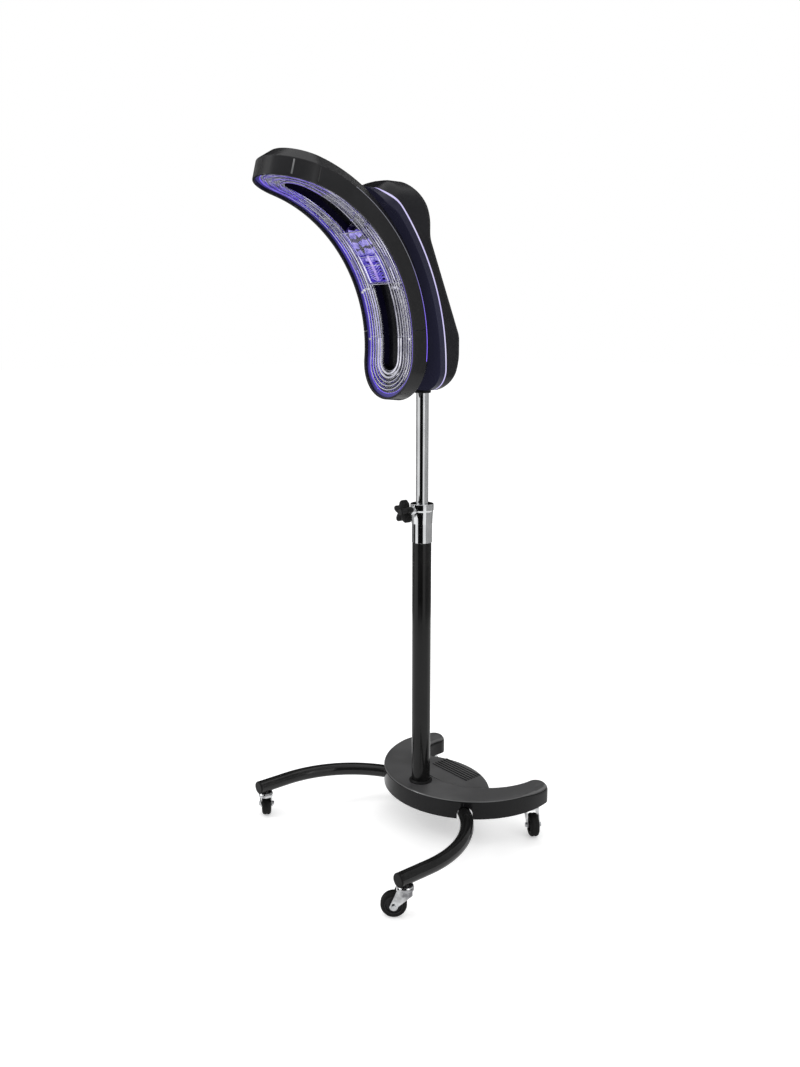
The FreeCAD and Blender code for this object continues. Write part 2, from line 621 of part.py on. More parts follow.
def make_column():
    """Welded socket with its bolts, the lower tube and the trim ring at its foot."""
    spigot = f"({BORE} - socket_play)"
    socket = turned("pole_socket", [
        (f"{spigot} - socket_wall", SOCKET_Z), ("socket_flange_dia / 2", SOCKET_Z),
        ("socket_flange_dia / 2", TUBE_Z), (spigot, TUBE_Z),
        (spigot, f"{TUBE_Z} + socket_height"),
        (f"{spigot} - socket_wall", f"{TUBE_Z} + socket_height"),
    ])
    holes = new_sketch(socket, "XY_Plane", "bolt_holes", shift=(0, 0, SOCKET_Z))
    for x, y in bolt_spots():
        circle(holes, "bolt_dia / 2 + weld_gap", x, y)
    pocket(socket, holes, "bolt_pocket", "socket_flange_thick - 1", reverse=True)

    bolts = []
    tip = f"({TUBE_Z} - 1 - fit_gap)"
    for index, (x, y) in enumerate(bolt_spots(), start=1):
        bolt = doc.addObject("PartDesign::Body", f"bolt_{index}")
        profile = new_sketch(bolt, "XZ_Plane", "profile")
        outline(profile, [
            ("0", f"{PLATE_Z} - bolt_head"), ("bolt_head_dia / 2", f"{PLATE_Z} - bolt_head"),
            ("bolt_head_dia / 2", PLATE_Z), ("bolt_dia / 2", PLATE_Z),
            ("bolt_dia / 2", tip), ("0", tip),
        ])
        revolve(bolt, profile, "turn")
        bolts.append(place(bolt, x, y))
    gather("socket_bolts", bolts)

    turned("lower_tube", [
        (BORE, TUBE_Z), ("tube_dia / 2", TUBE_Z),
        ("tube_dia / 2", "tube_top"), (BORE, "tube_top"),
    ])
    turned("tube_trim_ring", [
        ("tube_dia / 2 + fit_gap", "cover_top"),
        ("tube_dia / 2 + trim_width", "cover_top"),
        ("tube_dia / 2 + trim_width", "cover_top + trim_height / 3"),
        ("tube_dia / 2 + trim_width / 3", "cover_top + trim_height"),
        ("tube_dia / 2 + fit_gap", "cover_top + trim_height"),
    ])


def make_sleeve():
    """Bright sleeve below the clamp, open in a slot on the knob's side."""
    inner = "(tube_dia / 2 + weld_gap)"
    outer = f"({inner} + sleeve_wall)"
    sleeve = turned("collar_sleeve", [
        (inner, SLEEVE_Z), (outer, SLEEVE_Z),
        (outer, f"{COLLAR_Z} - weld_gap"), (inner, f"{COLLAR_Z} - weld_gap"),
    ])
    slot = new_sketch(sleeve, "XZ_Plane", "slot")
    rectangle(slot, "-sleeve_slot / 2", f"{SLEEVE_Z} - 1", "sleeve_slot / 2", COLLAR_Z)
    pocket(sleeve, slot, "slot_cut", "tube_dia", reverse=True)


def make_clamp():
    """Split chrome collar with the boss for the knob, and the guide bush in the tube."""
    bore = "(mast_dia / 2 + collar_play)"
    seat = "(tube_dia / 2 + weld_gap)"
    collar = turned("clamp_collar", [
        (seat, COLLAR_Z), ("collar_neck_dia / 2", COLLAR_Z),
        ("collar_neck_dia / 2 + 1", f"{COLLAR_TOP} - collar_ring - 4"),
        ("collar_dia / 2", f"{COLLAR_TOP} - collar_ring"),
        ("collar_dia / 2", f"{COLLAR_TOP} - collar_round"),
        ("collar_dia / 2 - collar_round", COLLAR_TOP, "collar_round", 1),
        (bore, COLLAR_TOP), (bore, f"{COLLAR_TOP} - collar_lip"),
        (seat, "tube_top + fit_gap"),
    ])
    boss = new_sketch(collar, "XZ_Plane", "boss", shift=(0, 0, "boss_reach"))
    circle(boss, "boss_dia / 2", "0", KNOB_Z)
    pad(collar, boss, "boss_pad", "boss_reach - mast_dia / 2 - 2", reverse=True)
    thread = new_sketch(collar, "XZ_Plane", "thread", shift=(0, 0, "boss_reach + 1"))
    circle(thread, "stud_dia / 2 + stud_play", "0", KNOB_Z)
    pocket(collar, thread, "thread_cut", "boss_reach + 1")
    split = new_sketch(collar, "XY_Plane", "split", shift=(0, 0, f"{COLLAR_TOP} + 1"))
    rectangle(split, "-collar_split / 2", "0", "collar_split / 2", "collar_dia")
    pocket(collar, split, "split_cut", "collar_ring + 1")

    turned("guide_bush", [
        ("mast_dia / 2 + bush_play", "tube_top - bush_length"),
        (f"{BORE} - socket_play", "tube_top - bush_length"),
        (f"{BORE} - socket_play", "tube_top"), ("mast_dia / 2 + bush_play", "tube_top"),
    ])


def make_knob():
    """Pressure pad, threaded stud and star knob on the client's side of the clamp."""
    pad_face = "(mast_dia / 2 + pad_gap)"
    stud_face = f"({pad_face} + pad_thick)"
    knob_face = "(boss_reach + knob_gap)"
    spans = (("clamp_pad", "pad_dia / 2", pad_face, "pad_thick"),
             ("knob_stud", "stud_dia / 2", stud_face, f"{knob_face} + knob_grip - {stud_face}"))
    for label, radius, start, length in spans:
        pin = doc.addObject("Part::Cylinder", label)
        pin.setExpression("Radius", bound(radius))
        pin.setExpression("Height", bound(length))
        node(place(pin, 0, f"-{start}", KNOB_Z, "90", (1, 0, 0)), label)

    knob = new_body("clamp_knob")
    hub = new_sketch(knob, "XY_Plane", "hub")
    circle(hub, "knob_hub_dia / 2")
    pad(knob, hub, "hub_pad", "knob_thick + 4")
    lobe = new_sketch(knob, "XY_Plane", "lobe", shift=(0, 0, "3"))
    reach, half = "(knob_dia / 2 - lobe_dia / 2)", "(lobe_dia / 2)"
    outline(lobe, [
        ("0", f"1 - {half}"), (reach, f"-{half}"), (f"{reach} + {half}", "0", half, 1),
        (reach, half, half, 1), ("0", f"{half} - 1"),
    ])
    arm = pad(knob, lobe, "lobe_pad", "knob_thick - 2")
    polar_pattern(knob, arm, "lobes", hub, "N_Axis", "360", "5")
    hole = new_sketch(knob, "XY_Plane", "hole")
    circle(hole, "stud_dia / 2 + weld_gap")
    pocket(knob, hole, "stud_hole", "knob_grip + weld_gap", reverse=True)
    place(knob, 0, f"-{knob_face}", KNOB_Z, "90", (1, 0, 0))


def make_mast():
    """Chrome tube and the plug that guides it and stops it under the bush."""
    turned("chrome_tube", [
        ("mast_dia / 2 - mast_wall", "mast_bottom"), ("mast_dia / 2", "mast_bottom"),
        ("mast_dia / 2", "mast_top"), ("mast_dia / 2 - mast_wall", "mast_top"),
    ])
    guide = f"({BORE} - plug_play)"
    core = "(mast_dia / 2 - mast_wall - weld_gap)"
    skirt = "(mast_dia / 2 + weld_gap)"
    turned("tube_plug", [
        ("0", "mast_bottom - plug_lip"), (guide, "mast_bottom - plug_lip"),
        (guide, "mast_bottom + plug_lip"), (skirt, "mast_bottom + plug_lip"),
        (skirt, "mast_bottom - weld_gap"), (core, "mast_bottom - weld_gap"),
        (core, "mast_bottom + plug_length"), ("0", "mast_bottom + plug_length"),
    ])


# ---- head: bearing and rear housing ------------------------------------------------

NECK = "(mast_dia / 2 + bearing_play)"
BEARING = f"({NECK} + bearing_wall)"
BAND_RADIUS = "(arc_radius + arc_depth + band_flare)"
BAND_Y = f"(band_front - {BAND_RADIUS})"
ARC_Y = f"({BAND_Y} + arc_forward)"
HOUSING_TOP = f"(band_centre_z + {BAND_RADIUS} * sin(housing_angle))"
NOTCH_Z = f"({HOUSING_TOP} - notch_drop)"
VENT_Z = f"({HOUSING_TOP} - vent_drop)"
COVER_RADIUS = f"({BAND_RADIUS} + band_thick / 2)"
BAND_INNER = f"({BAND_RADIUS} - band_thick / 2)"
FRONT_RADIUS = f"({BAND_INNER} - front_thick)"


def band_y(radius, height):
    """Y of the housing's concentric curves at a given height."""
    return f"({BAND_Y} + sqrt(({radius})^2 - ({height} - band_centre_z)^2))"


def arc_y(radius, height):
    return f"({ARC_Y} + sqrt(({radius})^2 - ({height} - arc_centre_z)^2))"


def front_outline(sketch, inset="0"):
    """Front view of the rear housing: a rectangle with four round corners."""
    half = f"(housing_half - {inset})"
    low, high = f"(housing_low + {inset})", f"({HOUSING_TOP} - {inset})"
    corner = f"(housing_corner - {inset})"
    outline(sketch, [
        (half, f"{low} + {corner}", corner, 1), (half, f"{high} - {corner}"),
        (f"{half} - {corner}", high, corner, 1), (f"-{half} + {corner}", high),
        (f"-{half}", f"{high} - {corner}", corner, 1), (f"-{half}", f"{low} + {corner}"),
        (f"-{half} + {corner}", low, corner, 1), (f"{half} - {corner}", low),
    ])


def trim_to_outline(body, inset="0"):
    """Cut away what lies outside the housing's front view."""
    sketch = new_sketch(body, "XZ_Plane", "trim")
    front_outline(sketch, inset)
    rectangle(sketch, "-2 * housing_half", "housing_low - housing_half",
              "2 * housing_half", f"{HOUSING_TOP} + housing_half")
    pocket(body, sketch, "trim_cut", both=True)


def curved_slab(body, name, inner, outer, low, high, width, start=band_y, end=band_y):
    """Slab between two curves of the side view, padded evenly about the middle."""
    side = new_sketch(body, "YZ_Plane", name)
    outline(side, [
        (start(inner, low), low, inner, -1), (end(outer, low), low),
        (end(outer, high), high, outer, 1), (start(inner, high), high),
    ])
    return pad(body, side, f"{name}_pad", width, both=True)


def make_neck_bore():
    """Tool that clears the neck collar and the bearing out of the housing parts."""
    body = doc.addObject("PartDesign::Body", "neck_bore")
    sketch = new_sketch(body, "XZ_Plane", "profile")
    wide, slim = "(neck_dia / 2 + fit_gap)", f"({BEARING} + fit_gap)"
    top = "(mast_top + bearing_cap + fit_gap)"
    outline(sketch, [
        ("0", "back_floor - neck_dia"), (wide, "back_floor - neck_dia"),
        (wide, "neck_top + fit_gap"), (slim, "neck_top + fit_gap"), (slim, top), ("0", top),
    ])
    revolve(body, sketch, "turn")
    return body


def make_layers(bore):
    """Front housing and the light band between it and the rear cover."""
    low, high = "(housing_low - housing_wall)", f"({HOUSING_TOP} + housing_wall)"
    width = "4 * housing_half"
    front = doc.addObject("PartDesign::Body", "front_shell")
    curved_slab(front, "side", FRONT_RADIUS, f"({BAND_INNER} - band_play)", low, high, width)
    trim_to_outline(front)
    cut_node("front_housing", front, bore)

    band = doc.addObject("PartDesign::Body", "band_ring")
    curved_slab(band, "side", BAND_INNER, f"({COVER_RADIUS} - band_play)", low, high, width)
    trim_to_outline(band)
    window = new_sketch(band, "XZ_Plane", "window")
    front_outline(window, "band_width")
    pocket(band, window, "window_cut", both=True)
    cut_node("light_band", band, bore)


def rear_block(label, inset):
    """Rear cover's form: band curve in front, console slope and round foot behind."""
    body = doc.addObject("PartDesign::Body", label)
    low, high = f"(back_low - {inset})", f"(back_high - {inset})"
    floor, top = f"(back_floor + {inset})", f"({HOUSING_TOP} + back_lift - {inset})"
    foot, brow = f"(foot_radius - {inset})", f"(back_top_round - {inset} / 2)"
    heel = f"(back_low - foot_radius + sqrt({foot}^2 - (foot_height - {floor})^2))"
    rise, run = f"({NOTCH_Z} - back_shoulder)", "(back_low - back_high)"
    slope = f"sqrt({rise}^2 + {run}^2)"
    ease = f"(back_ease * {run} / ({slope} - {rise}))"
    step_y, step_z = f"(back_ease * {run} / {slope})", f"(back_ease * {rise} / {slope})"
    side = new_sketch(body, "YZ_Plane", "side")
    outline(side, [
        (band_y(COVER_RADIUS, floor), floor, COVER_RADIUS, -1),
        (heel, floor), (low, "foot_height", foot, 1),
        (low, "back_shoulder - back_ease"),
        (f"{low} - {step_y}", f"back_shoulder + {step_z}", ease, 1),
        (f"{high} + {step_y}", f"{NOTCH_Z} - {step_z}"),
        (high, f"{NOTCH_Z} + back_ease", ease, -1),
        (high, f"{top} - {brow}"), (f"{high} - {brow}", top, brow, 1),
        (band_y(COVER_RADIUS, top), top),
    ])
    pad(body, side, "block", "4 * housing_half", both=True)
    trim_to_outline(body, inset)
    return body


def back_edge(shape):
    """Test for the edges between the outline's wall and the back of the cover."""
    def kind(face):
        surface = face.Surface
        if isinstance(surface, Part.Plane):
            normal = surface.Axis
            return "back" if abs(normal.y) > 0.1 else "wall"
        if abs(surface.Axis.y) > 0.9:
            return "wall"
        return "band" if abs(surface.Radius - value(COVER_RADIUS)) < 0.01 else "back"

    def test(edge):
        kinds = {kind(face) for face in shape.ancestorsOfType(edge, Part.Face)}
        return kinds == {"wall", "back"}
    return test


def make_rear_cover(bore):
    """Hollow rear cover with vents above the console and the cut-out for the inlet."""
    outer = rear_block("rear_form", "0")
    doc.recompute()
    dress(outer, "Fillet", "back_round", back_edge(outer.Tip.Shape), "housing_round")
    vent = new_sketch(outer, "XZ_Plane", "vent", shift=(0, 0, "-back_high - 1"))
    first = "(-vent_pitch * (vent_count - 1) / 2)"
    rectangle(vent, f"{first} - vent_width / 2", f"{VENT_Z} - vent_length / 2",
              f"{first} + vent_width / 2", f"{VENT_Z} + vent_length / 2")
    slot = pocket(outer, vent, "vent_cut", "housing_wall + 5", reverse=True)
    linear_pattern(outer, slot, "vents", "H_Axis", "vent_pitch * (vent_count - 1)", "vent_count")
    inlet = new_sketch(outer, "XZ_Plane", "inlet", shift=(0, 0, "-back_low - 1"))
    for x, width, height in inlet_wells():
        rectangle(inlet, f"{x} - {width} / 2 - fit_gap", f"inlet_z - {height} / 2 - fit_gap",
                  f"{x} + {width} / 2 + fit_gap", f"inlet_z + {height} / 2 + fit_gap")
    pocket(outer, inlet, "inlet_cut", "housing_wall + 2", reverse=True)
    shell = doc.addObject("Part::Cut", "rear_shell")
    shell.Base, shell.Tool = outer, rear_block("rear_cavity", "housing_wall")
    cut_node("rear_cover", shell, bore)


def make_bearing():
    """Neck collar on the pole, and the bearing welded to the strap inside the housing."""
    turned("neck_collar", [
        (NECK, "neck_bottom"), ("neck_dia / 2 - 1", "neck_bottom"),
        ("neck_dia / 2", "neck_bottom + 1"), ("neck_dia / 2", "neck_top"), (NECK, "neck_top"),
    ])
    body = turned("head_bracket", [
        ("0", "neck_top"), (BEARING, "neck_top"),
        (BEARING, "mast_top + bearing_cap"), ("0", "mast_top + bearing_cap"),
    ])
    inner = f"({COVER_RADIUS} + band_play)"
    curved_slab(body, "strap", inner, f"({inner} + strap_thick)", "strap_low", "strap_high",
                "2 * strap_half")
    bore = new_sketch(body, "XZ_Plane", "bore")
    rectangle(bore, "0", "neck_top - strap_thick", NECK, "mast_top + fit_gap")
    revolve(body, bore, "bore_cut", cut=True)


def make_bridge():
    """Block that carries the arc on the front of the rear housing."""
    body = new_body("arc_bridge")
    back = "(arc_radius + arc_depth + bridge_play)"
    curved_slab(body, "side", back, f"({FRONT_RADIUS} - bridge_play)", "bridge_low",
                "bridge_high", "2 * bridge_half", start=arc_y)


# ---- head: arc ---------------------------------------------------------------------
# Arc parts are drawn about the arc's centre: a section has X across the arc and the
# distance from the centre as its height. It is turned about X by its angle.

def mirrored(points):
    return [(f"-({point[0]})", point[1]) for point in reversed(points)]


def seat_arc(body):
    return place(body, 0, ARC_Y, "arc_centre_z")


def arc_sector(body, name, sections, low, high, cut=False):
    """Turn closed sections about the arc's centre line from one angle to another."""
    sketch = new_sketch(body, "XY_Plane", name, turn=low)
    for points in sections:
        outline(sketch, points)
    revolve(body, sketch, f"{name}_turn", "H_Axis", f"{high} - ({low})", cut=cut)


def arc_end(body, name, section, angle, upper):
    """Half-round end: the half section turned about the radius at the given angle."""
    sketch = new_sketch(body, "XY_Plane", name, turn=angle)
    outline(sketch, section)
    revolve(body, sketch, f"{name}_turn", "V_Axis", "180", reverse=upper)


def depth(text):
    return f"arc_radius + {text}"


def tray(body, outer, inner, low, high, ends):
    """Open channel: outer and inner points of one half, from the rim to the middle."""
    full = outer + mirrored(outer) + mirrored(inner) + inner
    half = outer + [("0", outer[-1][1]), ("0", inner[0][1])] + inner
    arc_sector(body, "sector", [full], low, high)
    if "low" in ends:
        arc_end(body, "low_end", half, low, upper=False)
    if "high" in ends:
        arc_end(body, "high_end", half, high, upper=True)


def rails(body, section, low, high, ends, name="rails"):
    """The same section on both sides of the arc, joined by half-round ends."""
    if "low" in ends:
        arc_end(body, "low_end", section, low, upper=False)
    if "high" in ends:
        arc_end(body, "high_end", section, high, upper=True)
    arc_sector(body, name, [section, mirrored(section)], low, high)


def make_arc_shells():
    """Black shell of the arc in two mouldings: flat wall, bevel and back plate."""
    wall = "(arc_half - arc_sheet)"
    floor = depth("arc_depth - arc_sheet")
    outer = [(wall, "arc_radius"), ("arc_half", "arc_radius"),
             ("arc_half", depth("arc_wall_depth")), ("arc_half - arc_bevel", depth("arc_depth"))]
    inner = [("arc_half - arc_bevel - arc_sheet / 2", floor),
             (wall, depth("arc_wall_depth - arc_sheet / 2"))]
    upper = new_body("arc_shell")
    tray(upper, outer, inner, "(arc_seam + seam_gap)", "arc_high", ["high"])
    seat_arc(upper)
    lower = new_body("arc_end_shell")
    tray(lower, outer, inner, "arc_low", "arc_seam", ["low"])
    seat_arc(lower)


STRIP_OUTER = "(arc_half - arc_sheet - band_play)"
STRIP_INNER = f"({STRIP_OUTER} - strip_width)"
LENS_OUTER = f"({STRIP_INNER} - fit_gap)"


def box_section(left, right, low, high):
    return [(left, low), (right, low), (right, high), (left, high)]


def make_light_parts():
    """Light strip round the lens and the carrier board behind it."""
    strip = new_body("led_strip")
    section = box_section(STRIP_INNER, STRIP_OUTER, depth("strip_depth"),
                          depth("strip_depth + strip_thick"))
    rails(strip, section, "arc_low", "arc_high", ["low", "high"])
    seat_arc(strip)
    board = new_body("led_board")
    back = "strip_depth + strip_thick + band_play"
    section = box_section("board_inner", STRIP_OUTER, depth(back), depth(f"{back} + board_thick"))
    rails(board, section, "arc_low", "arc_high", ["low", "high"])
    seat_arc(board)


def comb(inner, first):
    """Ribbed lens section from an inner edge outward, ribs toward the client."""
    back, face = depth("lens_depth + lens_thick"), depth("lens_depth")
    crest = depth("lens_depth - lens_rib")
    points = [(LENS_OUTER, face), (LENS_OUTER, back), (inner, back), (inner, face)]
    for index in range(first, int(value("lens_rib_count"))):
        start = f"(lens_rib_first + lens_rib_pitch * {index})"
        points += [(start, face), (start, crest), (f"{start} + lens_rib_width", crest),
                   (f"{start} + lens_rib_width", face)]
    return points


def make_lens():
    """Clear ribbed lens in three mouldings, cut out for the slot and the module."""
    slot = "(slot_half + fit_gap)"
    module = "(module_half + fit_gap)"
    upper = new_body("lens_upper")
    rails(upper, comb(slot, 0), "module_high", "arc_high", ["high"])
    arc_sector(upper, "beside_module", [comb(module, 1), mirrored(comb(module, 1))],
               "(module_low + seam_gap)", "module_high")
    seat_arc(upper)
    middle = new_body("lens_middle")
    middle.AllowCompound = True
    rails(middle, comb(slot, 0), "(lens_seam + seam_gap)", "module_low", [])
    seat_arc(middle)
    lower = new_body("lens_lower")
    rails(lower, comb(slot, 0), "arc_low", "lens_seam", ["low"])
    seat_arc(lower)


def make_windows():
    """Dark trays of the two slots in front of the heaters."""
    inside = "(slot_half - slot_sheet)"
    outer = [(inside, depth("slot_lip")), ("slot_half", depth("slot_lip")),
             ("slot_half", depth("slot_depth + slot_sheet"))]
    inner = [(inside, depth("slot_depth"))]
    trays = []
    for name, low, high, end in (("upper", "(module_high + seam_gap)", "arc_high", "high"),
                                 ("lower", "arc_low", "(module_low - seam_gap)", "low")):
        body = doc.addObject("PartDesign::Body", f"window_{name}")
        tray(body, outer, inner, low, high, [end])
        trays.append(seat_arc(body))
    gather("heater_windows", trays)


def make_heaters():
    """Curved quartz heaters behind the slots, each between two ceramic holders."""
    tubes, holders = [], []
    spans = (("upper", "(module_high + 1)", "arc_high"), ("lower", "arc_low", "(module_low - 1)"))
    block = box_section("-holder_half", "holder_half",
                        depth("slot_depth + slot_sheet + fit_gap"),
                        depth("arc_depth - arc_sheet - fit_gap"))
    for name, low, high in spans:
        tube = doc.addObject("PartDesign::Body", f"heater_{name}")
        start = f"({low} + holder_angle)"
        section = new_sketch(tube, "XY_Plane", "section", turn=start)
        circle(section, "heater_dia / 2", "0", depth("heater_depth"))
        revolve(tube, section, "turn", "H_Axis", f"{high} - holder_angle - {start}")
        tubes.append(seat_arc(tube))
        for place_name, angle in (("low", low), ("high", f"({high} - holder_angle)")):
            holder = doc.addObject("PartDesign::Body", f"holder_{name}_{place_name}")
            arc_sector(holder, "block", [block], angle, f"({angle} + holder_angle)")
            holders.append(seat_arc(holder))
    gather("heater_tubes", tubes)
    gather("heater_holders", holders)


def make_module():
    """Clear centre box, its louvred outlet and the lit spine between the louvres."""
    case = new_body("module_case")
    low, high = "(module_low + seam_gap)", "(module_high - seam_gap)"
    arc_sector(case, "box", [box_section("-module_half", "module_half", depth("module_front"),
                                         depth("module_depth"))], low, high)
    inside = "(module_half - module_sheet)"
    arc_sector(case, "inside", [box_section(f"-{inside}", inside,
                                            depth("module_front + module_sheet"),
                                            depth("module_depth + 1"))],
               f"({low} + module_end)", f"({high} - module_end)", cut=True)
    mouth = "(louvre_half + grille_play)"
    arc_sector(case, "mouth", [box_section(f"-{mouth}", mouth, "arc_radius",
                                           depth("module_front + 2 * module_sheet"))],
               "(louvre_low - seam_gap)", "(louvre_high + seam_gap)", cut=True)
    seat_arc(case)

    grille = new_body("louvre_grille")
    front, back = depth("louvre_front"), depth("louvre_front + louvre_tall")
    inner = "(spine_half + grille_play)"
    side_rails = [box_section(inner, f"{inner} + louvre_rail", front, back),
                  box_section("louvre_half - louvre_rail", "louvre_half", front, back)]
    arc_sector(grille, "rails", side_rails + [mirrored(rail) for rail in side_rails],
               "louvre_low", "louvre_high")
    bar = [box_section("-louvre_half", "louvre_half", front, back)]
    arc_sector(grille, "low_bar", bar, "louvre_low", "(louvre_low + louvre_angle)")
    arc_sector(grille, "high_bar", bar, "(louvre_high - louvre_angle)", "louvre_high")
    pitch = "((louvre_high - louvre_low) / (louvre_count + 1))"
    blade = box_section(inner, "louvre_half", front, back)
    sketch = new_sketch(grille, "XY_Plane", "blade", turn=f"louvre_low + {pitch}")
    outline(sketch, blade)
    outline(sketch, mirrored(blade))
    first = revolve(grille, sketch, "blade_turn", "H_Axis", "louvre_angle")
    polar_pattern(grille, first, "blades", sketch, "H_Axis", f"{pitch} * (louvre_count - 1)",
                  "louvre_count")
    seat_arc(grille)

    spine = new_body("lamp_spine")
    arc_sector(spine, "bar", [box_section("-spine_half", "spine_half", depth("spine_front"),
                                          depth("spine_front + spine_tall"))],
               "(louvre_low + 2 * louvre_angle)", "(louvre_high - 2 * louvre_angle)")
    seat_arc(spine)


def make_fan():
    """Small axial fan behind the module: square frame on four feet, seven-blade rotor."""
    frame = new_body("fan_frame")
    front, back = depth("fan_front"), depth("fan_front + fan_thick")
    centre = f"(({front} + {back}) / 2)"
    plate = new_sketch(frame, "XZ_Plane", "plate", shift=(0, 0, f"-({back})"))
    rectangle(plate, "-fan_size / 2", "-fan_size / 2", "fan_size / 2", "fan_size / 2")
    pad(frame, plate, "plate_pad", "fan_thick")
    hole = new_sketch(frame, "XZ_Plane", "hole", shift=(0, 0, f"-({front})"))
    circle(hole, "fan_hole / 2")
    pocket(frame, hole, "hole_cut", "fan_thick - fan_back")
    vent = new_sketch(frame, "XZ_Plane", "vent", shift=(0, 0, f"-({back})"))
    for side in (-1, 1):
        for level in (-1, 1):
            left = "fan_strut / 2" if side > 0 else "-fan_vent - fan_strut / 2"
            low = "fan_strut / 2" if level > 0 else "-fan_vent - fan_strut / 2"
            rectangle(vent, left, low, f"{left} + fan_vent", f"{low} + fan_vent")
    pocket(frame, vent, "vent_cut", "fan_back", reverse=True)
    boss = new_sketch(frame, "XZ_Plane", "boss", shift=(0, 0, f"-({back})"))
    circle(boss, "fan_hub_dia / 2")
    pad(frame, boss, "boss_pad", "fan_back")
    pin = new_sketch(frame, "XZ_Plane", "pin", shift=(0, 0, f"-({back})"))
    circle(pin, "fan_pin / 2")
    pad(frame, pin, "pin_pad", "fan_back + fan_hub_tall - 1")
    feet = new_sketch(frame, "XZ_Plane", "feet", shift=(0, 0, f"-({back})"))
    corner = "(fan_size / 2 - fan_foot / 2)"
    for side in (-1, 1):
        for level in (-1, 1):
            circle(feet, "fan_foot / 2", f"{side} * {corner}", f"{level} * {corner}")
    pad(frame, feet, "feet_pad",
        "sqrt((arc_radius + arc_depth - arc_sheet)^2 - (fan_size / 2)^2)"
        f" - ({back}) - fit_gap", reverse=True)

    rotor = new_body("fan_rotor")
    hub_back = f"({back} - fan_back - fit_gap)"
    hub = new_sketch(rotor, "XZ_Plane", "hub", shift=(0, 0, f"-{hub_back}"))
    circle(hub, "fan_hub_dia / 2 - fit_gap")
    pad(rotor, hub, "hub_pad", "fan_hub_tall")
    blade = new_sketch(rotor, "YZ_Plane", "blade", shift=(0, 0, "fan_hub_dia / 4"))
    near, far = f"({hub_back} - fan_hub_tall + 1)", f"({hub_back} - 1)"
    outline(blade, [(near, "-fan_blade_sweep"), (far, "fan_blade_sweep"),
                    (far, "fan_blade_sweep + fan_blade_thick"),
                    (near, "-fan_blade_sweep + fan_blade_thick")])
    first = pad(rotor, blade, "blade_pad", "fan_blade_reach - fan_hub_dia / 4")
    polar_pattern(rotor, first, "blades", hub, "N_Axis", "360", "fan_blades")
    bore = new_sketch(rotor, "XZ_Plane", "bore", shift=(0, 0, f"-{hub_back}"))
    circle(bore, "fan_pin / 2 + fan_play")
    pocket(rotor, bore, "bore_cut", "fan_hub_tall - 1", reverse=True)
    for piece in (frame, rotor):
        place(piece, 0, ARC_Y, "arc_centre_z", "fan_angle", (1, 0, 0))


# ---- head: console, inlet and switch -----------------------------------------------

CONSOLE_TURN = f"-atan(({NOTCH_Z} - back_shoulder) / (back_low - back_high))"


def seat_console(body):
    """The console's own frame lies on the slope: X across, Y down the slope, Z out."""
    return place(body, 0, "(back_low + back_high) / 2", f"(back_shoulder + {NOTCH_Z}) / 2",
                 CONSOLE_TURN, (1, 0, 0))


def rounded_plate(sketch, width, length, corner):
    half, reach = f"({width} / 2)", f"({length} / 2)"
    points = []
    for i, j in ((1, -1), (1, 1), (-1, 1), (-1, -1)):
        along = (f"{i} * {half}", f"{j} * ({reach} - {corner})")
        beside = (f"{i} * ({half} - {corner})", f"{j} * {reach}")
        first, second = (beside, along) if i * j < 0 else (along, beside)
        points += [first, second + (corner, 1)]
    outline(sketch, points)


def button_spots():
    return [(name, f"{i} * button_pitch_x / 2", f"button_offset + {j} * button_pitch_y")
            for name, i, j in (("start", -1, 0), ("mode", 1, 0), ("less", -1, 1), ("more", 1, 1))]


def make_console():
    """Control panel on the sloping back, with its window and four sprung buttons."""
    panel = new_body("control_panel")
    plate = new_sketch(panel, "XY_Plane", "plate")
    rounded_plate(plate, "panel_width", "panel_length", "panel_round")
    pad(panel, plate, "plate_pad", "panel_thick")
    recess = new_sketch(panel, "XY_Plane", "recess", shift=(0, 0, "panel_thick"))
    half, reach = "(window_width / 2 + weld_gap)", "(window_length / 2 + weld_gap)"
    rectangle(recess, f"-{half}", f"window_offset - {reach}", half, f"window_offset + {reach}")
    pocket(panel, recess, "recess_cut", "window_thick")
    holes = new_sketch(panel, "XY_Plane", "holes", shift=(0, 0, "panel_thick"))
    for _, x, y in button_spots():
        circle(holes, "button_dia / 2 + button_play", x, y)
    pocket(panel, holes, "holes_cut")
    seat_console(panel)

    window = new_body("display_window")
    glass = new_sketch(window, "XY_Plane", "glass", shift=(0, 0, "panel_thick - window_thick"))
    rectangle(glass, "-window_width / 2", "window_offset - window_length / 2",
              "window_width / 2", "window_offset + window_length / 2")
    pad(window, glass, "glass_pad", "window_thick")
    seat_console(window)

    for name, x, y in button_spots():
        button = new_body(f"button_{name}")
        profile = new_sketch(button, "XY_Plane", "cap",
                             shift=(0, 0, "button_travel + fit_gap"))
        circle(profile, "button_dia / 2", x, y)
        pad(button, profile, "cap_pad", "button_tall")
        top = value("button_travel + fit_gap + button_tall")
        dress(button, "Fillet", "cap_round", lambda edge: abs(edge.BoundBox.ZMin - top) < 0.01,
              "button_round")
        seat_console(button)


def inlet_wells():
    """Centre and outer size of the socket and of the switch well, in the back wall."""
    return [("inlet_x", "inlet_width", "inlet_height"),
            ("rocker_x", "(rocker_width + 2 * inlet_wall + 2 * rocker_play)",
             "(rocker_height + 2 * inlet_wall + 2 * rocker_play)")]


